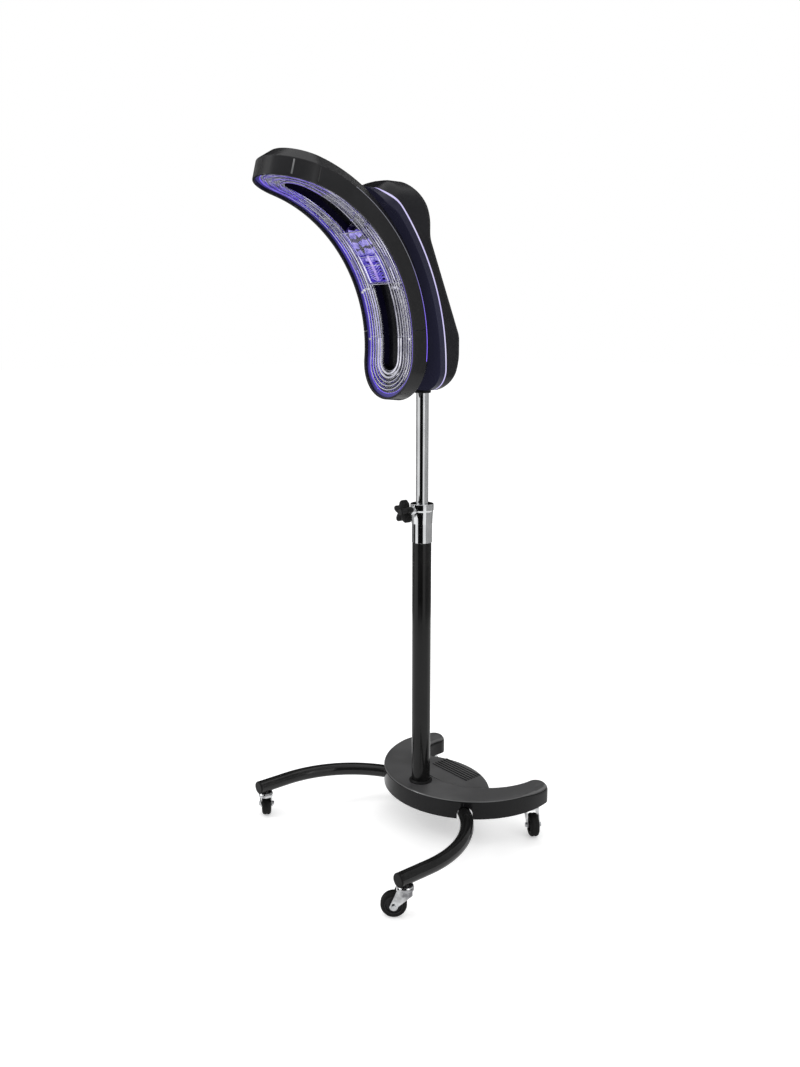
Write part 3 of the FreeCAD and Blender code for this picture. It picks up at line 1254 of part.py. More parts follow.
def make_inlet():
    """Mains inlet and switch well in one moulding, and the power rocker."""
    body = new_body("power_inlet")
    face = new_sketch(body, "XZ_Plane", "bezel", shift=(0, 0, "-back_low"))
    rectangle(face, "inlet_x - inlet_width / 2 - inlet_rim",
              "inlet_z - inlet_height / 2 - inlet_rim",
              "rocker_x + rocker_width / 2 + inlet_wall + inlet_rim",
              "inlet_z + inlet_height / 2 + inlet_rim")
    pad(body, face, "bezel_pad", "inlet_bezel", reverse=True)
    wells = new_sketch(body, "XZ_Plane", "wells", shift=(0, 0, "-back_low"))
    for x, width, height in inlet_wells():
        rectangle(wells, f"{x} - {width} / 2", f"inlet_z - {height} / 2",
                  f"{x} + {width} / 2", f"inlet_z + {height} / 2")
    pad(body, wells, "wells_pad", "inlet_depth")
    front = "-(back_low + inlet_bezel)"
    hollow = new_sketch(body, "XZ_Plane", "socket", shift=(0, 0, front))
    rectangle(hollow, "inlet_x - inlet_width / 2 + inlet_wall",
              "inlet_z - inlet_height / 2 + inlet_wall",
              "inlet_x + inlet_width / 2 - inlet_wall",
              "inlet_z + inlet_height / 2 - inlet_wall")
    pocket(body, hollow, "socket_cut", "inlet_bezel + inlet_depth - inlet_wall", reverse=True)
    well = new_sketch(body, "XZ_Plane", "well", shift=(0, 0, front))
    half, rise = "(rocker_width / 2 + rocker_play)", "(rocker_height / 2 + rocker_play)"
    rectangle(well, f"rocker_x - {half}", f"inlet_z - {rise}", f"rocker_x + {half}",
              f"inlet_z + {rise}")
    pocket(body, well, "well_cut", "inlet_bezel + rocker_well", reverse=True)
    floor = "-(back_low - inlet_depth + inlet_wall)"
    contacts = new_sketch(body, "XZ_Plane", "contacts", shift=(0, 0, floor))
    for x, z in (("-contact_pitch", "-1.5"), ("0", "1.5"), ("contact_pitch", "-1.5")):
        rectangle(contacts, f"inlet_x + {x} - contact_thick / 2",
                  f"inlet_z + {z} - contact_width / 2",
                  f"inlet_x + {x} + contact_thick / 2",
                  f"inlet_z + {z} + contact_width / 2")
    pad(body, contacts, "contacts_pad", "contact_reach", reverse=True)
    pivot = new_sketch(body, "YZ_Plane", "pivot", shift=(0, 0, "rocker_x"))
    circle(pivot, "rocker_pin / 2 + fan_play", "back_low - rocker_pivot", "inlet_z")
    pocket(body, pivot, "pivot_cut",
           "rocker_width + 2 * (rocker_play + rocker_pin_reach + fit_gap)", both=True)

    rocker = new_body("power_rocker")
    side = new_sketch(rocker, "YZ_Plane", "side", shift=(0, 0, "-rocker_width / 2"))
    tall = "(rocker_height / 2)"
    outline(side, [
        ("-rocker_pivot", "0"), ("0", f"-{tall} + 1"), ("rocker_pivot", f"-{tall}"),
        ("rocker_pivot + rocker_proud", f"-{tall}"),
        ("rocker_pivot + rocker_proud - 1", "0"),
        ("rocker_pivot + rocker_proud", tall), ("rocker_pivot", tall), ("0", f"{tall} - 1"),
    ])
    pad(rocker, side, "side_pad", "rocker_width")
    pins = new_sketch(rocker, "YZ_Plane", "pins")
    circle(pins, "rocker_pin / 2")
    pad(rocker, pins, "pins_pad", "rocker_width + 2 * (rocker_play + rocker_pin_reach)",
        both=True)
    place(rocker, "rocker_x", "back_low - rocker_pivot", "inlet_z")


# ---- build, check and write --------------------------------------------------------

def check(target):
    """Stop on a failed feature or an empty or invalid shape."""
    shape = target.Shape
    if shape.isNull() or not shape.Solids or not shape.isValid():
        raise RuntimeError(f"{target.Label}: bad shape")


def main():
    make_leg("leg_tube_left", -1)
    make_leg("leg_tube_right", 1)
    make_leg_caps()
    make_base_frame()
    make_base_cover()
    make_base_deck()
    make_caster_stems()
    for name, (x, y, yaw) in CASTERS.items():
        make_fork(name, x, y, yaw)
        make_wheel(name, x, y, yaw)
    make_column()
    make_sleeve()
    make_clamp()
    make_knob()
    make_mast()
    bore = make_neck_bore()
    make_layers(bore)
    make_rear_cover(bore)
    make_bearing()
    make_bridge()
    make_arc_shells()
    make_light_parts()
    make_lens()
    make_windows()
    make_heaters()
    make_module()
    make_fan()
    make_console()
    make_inlet()
    doc.recompute()

    for item in doc.Objects:
        if "Invalid" in item.State or "Error" in item.State:
            raise RuntimeError(f"{item.Name} did not build: {item.State}")
    for target in NODES:
        check(target)
    os.makedirs("parts", exist_ok=True)
    for target in NODES:
        target.Shape.exportStep(f"parts/{target.Label}.step")
        box = target.Shape.BoundBox
        print(f"{target.Label:28s} solids {len(target.Shape.Solids):2d}"
              f" volume {target.Shape.Volume / 1000:9.2f} cm3"
              f" z {box.ZMin:7.1f} to {box.ZMax:7.1f}")
    print(len(NODES), "nodes")


main()
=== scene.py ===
import json
import math

import bmesh
import bpy
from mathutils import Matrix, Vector

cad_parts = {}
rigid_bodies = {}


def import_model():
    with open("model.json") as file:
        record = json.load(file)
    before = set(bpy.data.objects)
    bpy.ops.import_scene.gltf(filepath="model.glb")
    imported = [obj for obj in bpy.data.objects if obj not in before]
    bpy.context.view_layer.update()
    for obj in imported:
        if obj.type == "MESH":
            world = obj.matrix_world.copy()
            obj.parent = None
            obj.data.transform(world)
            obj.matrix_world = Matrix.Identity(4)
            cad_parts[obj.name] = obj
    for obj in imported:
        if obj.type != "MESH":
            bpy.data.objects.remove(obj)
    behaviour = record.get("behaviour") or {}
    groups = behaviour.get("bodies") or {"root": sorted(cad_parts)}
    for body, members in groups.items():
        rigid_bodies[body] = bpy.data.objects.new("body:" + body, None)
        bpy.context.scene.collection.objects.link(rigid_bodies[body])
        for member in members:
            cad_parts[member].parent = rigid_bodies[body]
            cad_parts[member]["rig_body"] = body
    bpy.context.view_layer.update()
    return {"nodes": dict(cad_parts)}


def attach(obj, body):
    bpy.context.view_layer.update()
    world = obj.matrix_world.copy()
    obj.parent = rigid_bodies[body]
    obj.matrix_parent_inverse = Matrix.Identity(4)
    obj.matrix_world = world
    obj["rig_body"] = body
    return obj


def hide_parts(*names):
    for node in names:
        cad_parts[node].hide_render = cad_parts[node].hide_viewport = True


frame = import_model()
nodes = frame["nodes"]
print("frame loaded:", len(nodes), "nodes")


# small helpers for building node trees

def wire(tree, node, sources):
    for name, source in sources.items():
        tree.links.new(source, node.inputs[name])


def setInputs(node, amounts):
    for name, amount in amounts.items():
        node.inputs[name].default_value = amount


def addNode(tree, kind, sources=None, **settings):
    made = tree.nodes.new(kind)
    for key, setting in settings.items():
        if hasattr(made, key):
            setattr(made, key, setting)
        else:
            setInputs(made, {key: setting})
    wire(tree, made, sources or {})
    return made


def startMaterial(name):
    material = bpy.data.materials.new(name)
    material.use_nodes = True
    tree = material.node_tree
    return material, tree, tree.nodes["Principled BSDF"]


def objectSpace(tree):
    return addNode(tree, "ShaderNodeTexCoord").outputs["Object"]


def noiseOn(tree, space, scale, detail=3.0, roughness=0.5):
    return addNode(tree, "ShaderNodeTexNoise", {"Vector": space}, Scale=scale, Detail=detail,
                   Roughness=roughness).outputs["Fac"]


def remap(tree, source, low, high, fromLow=0.3, fromHigh=0.7):
    spread = addNode(tree, "ShaderNodeMapRange", {"Value": source})
    setInputs(spread, {"From Min": fromLow, "From Max": fromHigh, "To Min": low, "To Max": high})
    return spread.outputs["Result"]


def twoTone(tree, source, first, second, low=0.35, high=0.65):
    ramp = addNode(tree, "ShaderNodeValToRGB", {"Fac": source})
    for stop, position, colour in zip(ramp.color_ramp.elements, (low, high), (first, second)):
        stop.position = position
        stop.color = (*colour, 1)
    return ramp.outputs["Color"]


def largestOf(tree, first, second):
    return addNode(tree, "ShaderNodeMath", {0: first, 1: second}, operation="MAXIMUM").outputs[0]


def scaledBy(tree, source, amount, operation="MULTIPLY"):
    step = addNode(tree, "ShaderNodeMath", {0: source}, operation=operation)
    setInputs(step, {1: amount})
    return step.outputs[0]


def axisOf(tree, space, axis):
    return addNode(tree, "ShaderNodeSeparateXYZ", {"Vector": space}).outputs[axis]


# fine grain by kind: detail and roughness of its noise, depth of its bump
grains = dict(plastic=(2.0, 0.6, 0.0004), metal=(4.0, 0.6, 0.0002), clear=(2.0, 0.5, 0.0003))


def grainOn(tree, space, scale, strength, kind):
    detail, roughness, depth = grains[kind]
    fine = noiseOn(tree, space, scale, detail, roughness)
    bump = addNode(tree, "ShaderNodeBump", {"Height": fine}, Strength=strength, Distance=depth)
    return fine, bump.outputs["Normal"]


coatRoughness = 0.08
lampBody = dict(shade=(0.03, 0.03, 0.04), roughness=0.35)
clearBody = dict(cloud=30, grain=160, index=1.49)


def mouldedPlastic(name, look):
    # two close shades drift over the moulding, under a fine grain
    material, tree, shader = startMaterial(name)
    space = objectSpace(tree)
    broad = noiseOn(tree, space, look["cloud"])
    bump = grainOn(tree, space, look["grain"], look["bump"], "plastic")[1]
    wire(tree, shader, {"Base Color": twoTone(tree, broad, look["dark"], look["light"]),
                        "Roughness": remap(tree, broad, *look["roughness"]),
                        "Normal": bump})
    setInputs(shader, {"Coat Weight": look.get("coat", 0.0), "Coat Roughness": coatRoughness,
                       "Specular IOR Level": look["specular"]})
    if "paintedGlow" in look:
        # painted glow: emission standing in for faint light from the lamps behind the moulding
        setInputs(shader, {"Emission Color": (*look["paintedGlow"], 1),
                           "Emission Strength": look["paintedGlowStrength"]})
    return material


def brightMetal(name, look):
    material, tree, shader = startMaterial(name)
    space = objectSpace(tree)
    broad = noiseOn(tree, space, look["cloud"])
    fine, bump = grainOn(tree, space, look["grain"], look["bump"], "metal")
    wire(tree, shader, {"Base Color": twoTone(tree, broad, look["dark"], look["light"]),
                        "Roughness": remap(tree, fine, *look["roughness"]),
                        "Normal": bump})
    setInputs(shader, {"Metallic": 1})
    return material


def lampGlow(name, look):
    material, tree, shader = startMaterial(name)
    broad = noiseOn(tree, objectSpace(tree), look["cloud"])
    wire(tree, shader, {"Emission Color": twoTone(tree, broad, look["dim"], look["bright"])})
    setInputs(shader, {"Base Color": (*lampBody["shade"], 1), "Roughness": lampBody["roughness"],
                       "Emission Strength": look["strength"]})
    return material


def clearPlastic(name, look):
    # light from the strip fills the outer edge of the moulding and fades inward
    material, tree, shader = startMaterial(name)
    space = objectSpace(tree)
    across = addNode(tree, "ShaderNodeMath", {0: axisOf(tree, space, "X")}, operation="ABSOLUTE")
    edge = remap(tree, across.outputs[0], 0.0, 1.0, look["glowFrom"], look["glowTo"])
    edge = scaledBy(tree, scaledBy(tree, edge, look["glowFall"], "POWER"), look["glow"])
    broad = noiseOn(tree, space, clearBody["cloud"])
    bump = grainOn(tree, space, clearBody["grain"], look["bump"], "clear")[1]
    wire(tree, shader, {"Base Color": twoTone(tree, broad, look["tint"], look["clear"]),
                        "Roughness": remap(tree, broad, *look["roughness"]),
                        "Normal": bump, "Emission Strength": edge})
    setInputs(shader, {"Emission Color": (*look["glowColour"], 1), "IOR": clearBody["index"],
                       "Transmission Weight": look["transmission"],
                       "Specular IOR Level": look["specular"]})
    return material


finishes = {
    # base cover and deck: the top faces take a lighter colour and the skirts and rib walls a
    # darker one, painted light and shade; the two also differ in roughness
    "satinCover": dict(dark=(0.049, 0.049, 0.050), light=(0.073, 0.073, 0.074), cloud=9,
                       grain=1400, roughness=(0.34, 0.46), bump=0.10, specular=0.35),
    "glossSkirt": dict(dark=(0.006, 0.006, 0.0065), light=(0.010, 0.010, 0.0105), cloud=9,
                       grain=1400, roughness=(0.12, 0.18), bump=0.02, specular=0.20),
    # crease faces: a lighter colour, a painted highlight standing in for a lamp's reflection
    "creaseSheen": dict(dark=(0.08, 0.08, 0.081), light=(0.16, 0.16, 0.161), cloud=5,
                        grain=900, roughness=(0.14, 0.22), bump=0.02, specular=0.6),
    "glossShell": dict(dark=(0.015, 0.015, 0.016), light=(0.021, 0.021, 0.0225), cloud=7,
                       grain=700, roughness=(0.20, 0.28), bump=0.01, specular=0.20),
    "housingGloss": dict(dark=(0.012, 0.012, 0.014), light=(0.018, 0.018, 0.021), cloud=6,
                         grain=500, roughness=(0.24, 0.32), bump=0.03, specular=0.20),
    # front housing: its blue-violet tint and faint glow are painted light from the violet light at
    # the arc's edge
    "housingNavy": dict(dark=(0.011, 0.011, 0.020), light=(0.016, 0.016, 0.032), cloud=8,
                        grain=500, roughness=(0.24, 0.32), bump=0.03, specular=0.22,
                        paintedGlow=(0.50, 0.50, 1.0), paintedGlowStrength=0.018),
    "tubePaint": dict(dark=(0.004, 0.004, 0.004), light=(0.008, 0.008, 0.008), cloud=14,
                      grain=260, roughness=(0.10, 0.18), bump=0.02, specular=0.28),
    # legs: the tube's paint made lighter and glossier, painted light on the legs
    "legPaint": dict(dark=(0.007, 0.007, 0.007), light=(0.012, 0.012, 0.012), cloud=14,
                     grain=260, roughness=(0.10, 0.18), bump=0.02, specular=0.42),
    "mattBlack": dict(dark=(0.004, 0.004, 0.004), light=(0.009, 0.009, 0.0095), cloud=30,
                      grain=1800, roughness=(0.38, 0.52), bump=0.12, specular=0.14),
    "frameCoat": dict(dark=(0.014, 0.014, 0.015), light=(0.024, 0.024, 0.026), cloud=18,
                      grain=1100, roughness=(0.5, 0.62), bump=0.2, specular=0.3),
    "tyreRubber": dict(dark=(0.005, 0.005, 0.005), light=(0.012, 0.0118, 0.0115), cloud=40,
                       grain=1500, roughness=(0.5, 0.7), bump=0.15, specular=0.16),
    "hubPlastic": dict(dark=(0.012, 0.012, 0.0125), light=(0.022, 0.022, 0.023), cloud=35,
                       grain=1500, roughness=(0.4, 0.55), bump=0.1, specular=0.25),
    "ceramicWhite": dict(dark=(0.62, 0.6, 0.56), light=(0.75, 0.73, 0.69), cloud=60,
                         grain=2200, roughness=(0.5, 0.7), bump=0.2, specular=0.4),
    "buttonGrey": dict(dark=(0.16, 0.16, 0.17), light=(0.21, 0.21, 0.22), cloud=50,
                       grain=2500, roughness=(0.4, 0.5), bump=0.08, specular=0.4),
    # end-wall ridges: lighter greys as painted highlights standing in for reflections on the shell
    "ridgeGrey": dict(dark=(0.05, 0.05, 0.052), light=(0.20, 0.20, 0.205), cloud=26,
                      grain=900, roughness=(0.25, 0.35), bump=0.03, specular=0.5),
    "ridgeDim": dict(dark=(0.026, 0.026, 0.027), light=(0.050, 0.050, 0.051), cloud=26,
                     grain=900, roughness=(0.25, 0.35), bump=0.03, specular=0.3),
    "glyphWhite": dict(dark=(0.62, 0.62, 0.64), light=(0.74, 0.74, 0.76), cloud=90,
                       grain=3000, roughness=(0.4, 0.5), bump=0.04, specular=0.4),
    # lens lines, clips and edges: pale colour as painted highlights standing in for reflections on
    # the clear ribs, with a faint painted glow
    "frostedRib": dict(dark=(0.42, 0.42, 0.45), light=(0.86, 0.86, 0.90), cloud=38,
                       grain=900, roughness=(0.18, 0.34), bump=0.1, coat=0.2, specular=0.6,
                       paintedGlow=(0.62, 0.58, 1.0), paintedGlowStrength=0.10),
    "paleBlock": dict(dark=(0.10, 0.09, 0.20), light=(0.24, 0.23, 0.38), cloud=60,
                      grain=900, roughness=(0.18, 0.34), bump=0.1, specular=0.4,
                      paintedGlow=(0.55, 0.52, 1.0), paintedGlowStrength=0.08),
    "litRib": dict(dark=(0.08, 0.06, 0.28), light=(0.24, 0.20, 0.60), cloud=46,
                   grain=900, roughness=(0.18, 0.34), bump=0.1, specular=0.4,
                   paintedGlow=(0.34, 0.24, 1.0), paintedGlowStrength=0.45),
}
metals = {
    "chromeBright": dict(dark=(0.74, 0.75, 0.76), light=(0.86, 0.87, 0.88), cloud=20,
                         grain=300, roughness=(0.03, 0.08), bump=0.015),
    # fork chrome: darkened in broad blotches, painted shade standing in for dark reflections
    "forkChrome": dict(dark=(0.22, 0.22, 0.23), light=(0.82, 0.83, 0.84), cloud=48,
                       grain=300, roughness=(0.06, 0.14), bump=0.03),
    "zincSteel": dict(dark=(0.5, 0.51, 0.53), light=(0.66, 0.67, 0.68), cloud=60,
                      grain=900, roughness=(0.22, 0.36), bump=0.08),
    "padBrass": dict(dark=(0.55, 0.40, 0.16), light=(0.72, 0.55, 0.26), cloud=60,
                     grain=900, roughness=(0.2, 0.35), bump=0.08),
    "reflectorSilver": dict(dark=(0.010, 0.010, 0.014), light=(0.075, 0.075, 0.090), cloud=70,
                            grain=500, roughness=(0.20, 0.36), bump=0.25),
}
glows = {
    "bandGlow": dict(dim=(0.56, 0.50, 0.95), bright=(0.80, 0.76, 1.0), cloud=12, strength=0.95),
    "stripGlow": dict(dim=(0.035, 0.006, 0.48), bright=(0.09, 0.025, 0.85), cloud=30,
                      strength=1.25),
    "stripFront": dict(dim=(0.010, 0.006, 0.10), bright=(0.035, 0.020, 0.26), cloud=30,
                       strength=0.8),
    "spineGlow": dict(dim=(0.26, 0.17, 0.62), bright=(0.62, 0.50, 0.95), cloud=80, strength=1.0),
    "louvreGlow": dict(dim=(0.025, 0.010, 0.30), bright=(0.10, 0.06, 0.62), cloud=120,
                       strength=0.8),
    "cupGlow": dict(dim=(0.06, 0.04, 0.36), bright=(0.50, 0.43, 0.95), cloud=90, strength=1.0),
    "displayGlow": dict(dim=(0.42, 0.70, 1.0), bright=(0.62, 0.84, 1.0), cloud=60, strength=0.8),
}
clears = {
    "lensClear": dict(tint=(0.80, 0.80, 0.88), clear=(0.97, 0.97, 1.0), roughness=(0.01, 0.05),
                      bump=0.03, transmission=1.0, specular=0.35, glowFrom=0.052, glowTo=0.068,
                      glowFall=1.6, glow=0.035, glowColour=(0.10, 0.03, 1.0)),
    "moduleClear": dict(tint=(0.70, 0.68, 0.92), clear=(0.93, 0.92, 1.0), roughness=(0.01, 0.05),
                        bump=0.03, transmission=1.0, specular=0.4, glowFrom=0.0, glowTo=0.036,
                        glowFall=1.0, glow=0.03, glowColour=(0.24, 0.14, 1.0)),
    "darkWindow": dict(tint=(0.003, 0.003, 0.004), clear=(0.006, 0.006, 0.008),
                       roughness=(0.08, 0.16), bump=0.05, transmission=0.0, specular=0.15,
                       glowFrom=0.012, glowTo=0.022, glowFall=3.0, glow=0.01,
                       glowColour=(0.2, 0.12, 1.0)),
    "quartzTube": dict(tint=(0.6, 0.5, 0.45), clear=(0.8, 0.75, 0.7), roughness=(0.05, 0.15),
                       bump=0.1, transmission=0.4, specular=0.5, glowFrom=0.0, glowTo=0.01,
                       glowFall=1.0, glow=0.0, glowColour=(1.0, 0.4, 0.2)),
}
skins = {}
for make, looks in ((mouldedPlastic, finishes), (brightMetal, metals), (lampGlow, glows),
                    (clearPlastic, clears)):
    skins.update({name: make(name, look) for name, look in looks.items()})

# a glowing bar on the shell's crease: painted light, violet low down and a grey painted highlight
# higher up
creaseGlowLook = dict(low=1.06, high=1.20, faint=(0.11, 0.11, 0.13), lit=(0.20, 0.12, 0.85),
                 strength=0.9, cloud=60, roughness=(0.25, 0.4))


def creaseGlow(name, look):
    # painted glow along the shell's crease: violet light low down, fading up to a faint grey
    # painted highlight
    material, tree, shader = startMaterial(name)
    space = objectSpace(tree)
    rise = remap(tree, axisOf(tree, space, "Z"), 1.0, 0.0, look["low"], look["high"])
    tones = twoTone(tree, rise, look["faint"], look["lit"], 0.0, 1.0)
    broad = noiseOn(tree, space, look["cloud"])
    wire(tree, shader, {"Base Color": tones, "Emission Color": tones,
                        "Roughness": remap(tree, broad, *look["roughness"])})
    setInputs(shader, {"Emission Strength": look["strength"]})
    return material


skins["creaseGlow"] = creaseGlow("creaseGlow", creaseGlowLook)
print("materials made:", len(skins))

dressed = {
    "satinCover": ["base_cover", "base_deck"],
    "glossShell": ["arc_shell", "arc_end_shell"],
    "housingGloss": ["rear_cover"],
    "housingNavy": ["front_housing"],
    "tubePaint": ["lower_tube"],
    "legPaint": ["leg_tube_left", "leg_tube_right"],
    "frameCoat": ["base_frame", "pole_socket", "head_bracket", "arc_bridge"],
    "mattBlack": ["leg_end_caps", "tube_trim_ring", "guide_bush", "clamp_knob", "tube_plug",
                  "neck_collar", "fan_frame", "fan_rotor", "control_panel", "power_inlet",
                  "power_rocker"],
    "chromeBright": ["collar_sleeve", "clamp_collar", "chrome_tube"],
    "zincSteel": ["caster_stems", "socket_bolts", "knob_stud"],
    "padBrass": ["clamp_pad"],
    "reflectorSilver": ["led_board"],
    "bandGlow": ["light_band"],
    "stripGlow": ["led_strip"],
    "spineGlow": ["lamp_spine"],
    "louvreGlow": ["louvre_grille"],
    "lensClear": ["lens_upper", "lens_middle", "lens_lower"],
    "moduleClear": ["module_case"],
    "darkWindow": ["heater_windows", "display_window"],
    "quartzTube": ["heater_tubes"],
    "ceramicWhite": ["heater_holders"],
    "buttonGrey": ["button_start", "button_mode", "button_less", "button_more"],
    "forkChrome": [], "tyreRubber": [], "hubPlastic": [],
}
corners = ("front_left", "front_right", "rear_left", "rear_right")
for corner in corners:
    dressed["forkChrome"].append(f"caster_fork_{corner}")
    dressed["tyreRubber"].append(f"caster_tyre_{corner}")
    dressed["hubPlastic"].append(f"caster_hub_{corner}")
skinOf = {name: skin for skin, names in dressed.items() for name in names}
for name, skin in skinOf.items():
    nodes[name].data.materials.clear()
    nodes[name].data.materials.append(skins[skin])
print("CAD nodes dressed:", len(skinOf))


# plain helpers for objects and meshes

shadeAngle = 35
weld = 0.000005


def addObject(name, data):
    made = bpy.data.objects.new(name, data)
    bpy.context.scene.collection.objects.link(made)
    return made


def evaluatedMesh(holder):
    graph = bpy.context.evaluated_depsgraph_get()
    return bpy.data.meshes.new_from_object(holder.evaluated_get(graph))


def meshFrom(name, shape):
    mesh = bpy.data.meshes.new(name)
    shape.to_mesh(mesh)
    shape.free()
    return mesh


# node trees that repeat a small shape, or run a round bar along a path

def growTree(name, sizes):
    tree = bpy.data.node_groups.new(name, "GeometryNodeTree")
    face = tree.interface
    face.new_socket("Geometry", in_out="INPUT", socket_type="NodeSocketGeometry")
    for size, start in sizes.items():
        kind = "NodeSocketInt" if isinstance(start, int) else "NodeSocketFloat"
        face.new_socket(size, in_out="INPUT", socket_type=kind).default_value = start
    face.new_socket("Material", in_out="INPUT", socket_type="NodeSocketMaterial")
    face.new_socket("Geometry", in_out="OUTPUT", socket_type="NodeSocketGeometry")
    return tree, tree.nodes.new("NodeGroupInput").outputs, tree.nodes.new("NodeGroupOutput").inputs


def endTree(tree, source, inputs, outputs):
    real = addNode(tree, "GeometryNodeRealizeInstances", {0: source})
    paint = addNode(tree, "GeometryNodeSetMaterial",
                    {"Geometry": real.outputs[0], "Material": inputs["Material"]})
    tree.links.new(paint.outputs[0], outputs[0])


def grow(name, verts, edges, tree, sizes, skin, body, facing=None, smooth=shadeAngle):
    # run the tree on bare points or edges and keep only the plain result
    seed = bpy.data.meshes.new(name + "Seed")
    seed.from_pydata(verts, edges, [])
    if facing is not None:
        mark = seed.attributes.new("facing", "FLOAT_VECTOR", "POINT")
        for index, way in enumerate(facing):
            mark.data[index].vector = way
    holder = addObject(name + "Seed", seed)
    change = holder.modifiers.new("grow", "NODES")
    change.node_group = tree
    sockets = {item.name: item.identifier for item in tree.interface.items_tree
               if item.in_out == "INPUT" and item.name != "Geometry"}
    for size, amount in sizes.items():
        change[sockets[size]] = amount
    change[sockets["Material"]] = skins[skin]
    mesh = evaluatedMesh(holder)
    bpy.data.objects.remove(holder)
    mesh.name = name
    return newPiece(name, mesh, skin, body, smooth)


def newPiece(name, mesh, skin, body, smooth=shadeAngle, weigh=False):
    mesh.materials.clear()
    mesh.materials.append(skins[skin])
    for face in mesh.polygons:
        face.material_index = 0
    mesh.shade_smooth()
    mesh.set_sharp_from_angle(angle=math.radians(smooth))
    piece = addObject(name, mesh)
    if weigh:
        # large faces keep their own shading beside the narrow bevels
        change = piece.modifiers.new("weigh", "WEIGHTED_NORMAL")
        change.keep_sharp = True
        shaded = evaluatedMesh(piece)
        piece.modifiers.clear()
        piece.data = shaded
    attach(piece, body)
    return piece


def stampTree(name, kind, sizes, wire):
    # one small stamp on every point, its Z turned to the point's own "facing"
    tree, inputs, outputs = growTree(name, sizes)
    stamp = tree.nodes.new(kind)
    wire(tree, stamp, inputs)
    spreadStamp(tree, stamp.outputs["Mesh"], inputs, outputs)
    return tree


def spreadStamp(tree, shape, inputs, outputs):
    facing = addNode(tree, "GeometryNodeInputNamedAttribute", data_type="FLOAT_VECTOR",
                     Name="facing")
    turn = addNode(tree, "FunctionNodeAlignRotationToVector",
                   {"Vector": facing.outputs["Attribute"]}, axis="Z")
    spread = addNode(tree, "GeometryNodeInstanceOnPoints",
                     {"Points": inputs["Geometry"], "Instance": shape,
                      "Rotation": turn.outputs["Rotation"]})
    endTree(tree, spread.outputs[0], inputs, outputs)


def wireCylinder(tree, stamp, inputs):
    wire(tree, stamp, {"Vertices": inputs["Sides"], "Radius": inputs["Radius"],
                       "Depth": inputs["Height"]})


def wireBlock(tree, stamp, inputs):
    join = addNode(tree, "ShaderNodeCombineXYZ",
                   {"X": inputs["Width"], "Y": inputs["Length"], "Z": inputs["Height"]})
    wire(tree, stamp, {"Size": join.outputs[0]})


studTree = stampTree("studs", "GeometryNodeMeshCylinder",
                     {"Sides": 24, "Radius": 0.003, "Height": 0.002}, wireCylinder)
blockTree = stampTree("blocks", "GeometryNodeMeshCube",
                      {"Width": 0.003, "Length": 0.003, "Height": 0.001}, wireBlock)


# the cross recess is two bars, sized in shares of the head's radius
screwHead = dict(sides=28, cross=((1.15, 0.25, 0.5), (0.25, 1.15, 0.5)))


def makeScrewTree(look):
    # flat head with a cross recess
    tree, inputs, outputs = growTree("screws", {"Radius": 0.0035, "Height": 0.0014})
    head = addNode(tree, "GeometryNodeMeshCylinder",
                   {"Radius": inputs["Radius"], "Depth": inputs["Height"]}, Vertices=look["sides"])
    carve = addNode(tree, "GeometryNodeMeshBoolean", operation="DIFFERENCE")
    wire(tree, carve, {"Mesh 1": head.outputs["Mesh"]})
    rise = addNode(tree, "ShaderNodeCombineXYZ", {"Z": inputs["Height"]})
    for shares in look["cross"]:
        size = addNode(tree, "ShaderNodeCombineXYZ",
                       {axis: scaledBy(tree, inputs["Radius"], share)
                        for axis, share in zip("XYZ", shares)})
        bar = addNode(tree, "GeometryNodeMeshCube", {"Size": size.outputs[0]})
        lift = addNode(tree, "GeometryNodeTransform",
                       {"Geometry": bar.outputs["Mesh"], "Translation": rise.outputs[0]})
        wire(tree, carve, {"Mesh 2": lift.outputs["Geometry"]})
    spreadStamp(tree, carve.outputs["Mesh"], inputs, outputs)
    return tree


def makeBarTree():
    # round bar along the given edges
    tree, inputs, outputs = growTree("bars", {"Radius": 0.0004, "Sides": 6})
    path = addNode(tree, "GeometryNodeMeshToCurve", {"Mesh": inputs["Geometry"]})
    ring = addNode(tree, "GeometryNodeCurvePrimitiveCircle",
                   {"Radius": inputs["Radius"], "Resolution": inputs["Sides"]})
    sweep = addNode(tree, "GeometryNodeCurveToMesh",
                    {"Curve": path.outputs["Curve"], "Profile Curve": ring.outputs["Curve"]})
    setInputs(sweep, {"Fill Caps": True})
    endTree(tree, sweep.outputs["Mesh"], inputs, outputs)
    return tree


screwTree = makeScrewTree(screwHead)
barTree = makeBarTree()


def stamps(name, tree, spots, sizes, skin, body):
    # spots are (place, facing) pairs
    places, ways = zip(*spots)
    return grow(name, places, [], tree, sizes, skin, body, ways)


def blocks(name, spots, size, skin, body="head"):
    stamps(name, blockTree, spots, dict(zip(("Width", "Length", "Height"), size)), skin, body)


def screws(name, spots, radius, height, body="head"):
    stamps(name, screwTree, spots, {"Radius": radius, "Height": height}, "zincSteel", body)


def bars(name, paths, radius, skin, body="head", sides=6):
    # paths are (points, closed) pairs
    verts, edges = [], []
    for points, closed in paths:
        start = len(verts)
        verts += points
        edges += [(start + step, start + step + 1) for step in range(len(points) - 1)]
        if closed:
            edges.append((len(verts) - 1, start))
    return grow(name, verts, edges, barTree, {"Radius": radius, "Sides": sides}, skin, body,
                smooth=80)


def standsFor(piece, node):
    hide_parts(node)


# shapes made straight from points

def finishMesh(name, shape, skin, body, smooth=shadeAngle):
    bmesh.ops.recalc_face_normals(shape, faces=shape.faces)
    return newPiece(name, meshFrom(name, shape), skin, body, smooth)


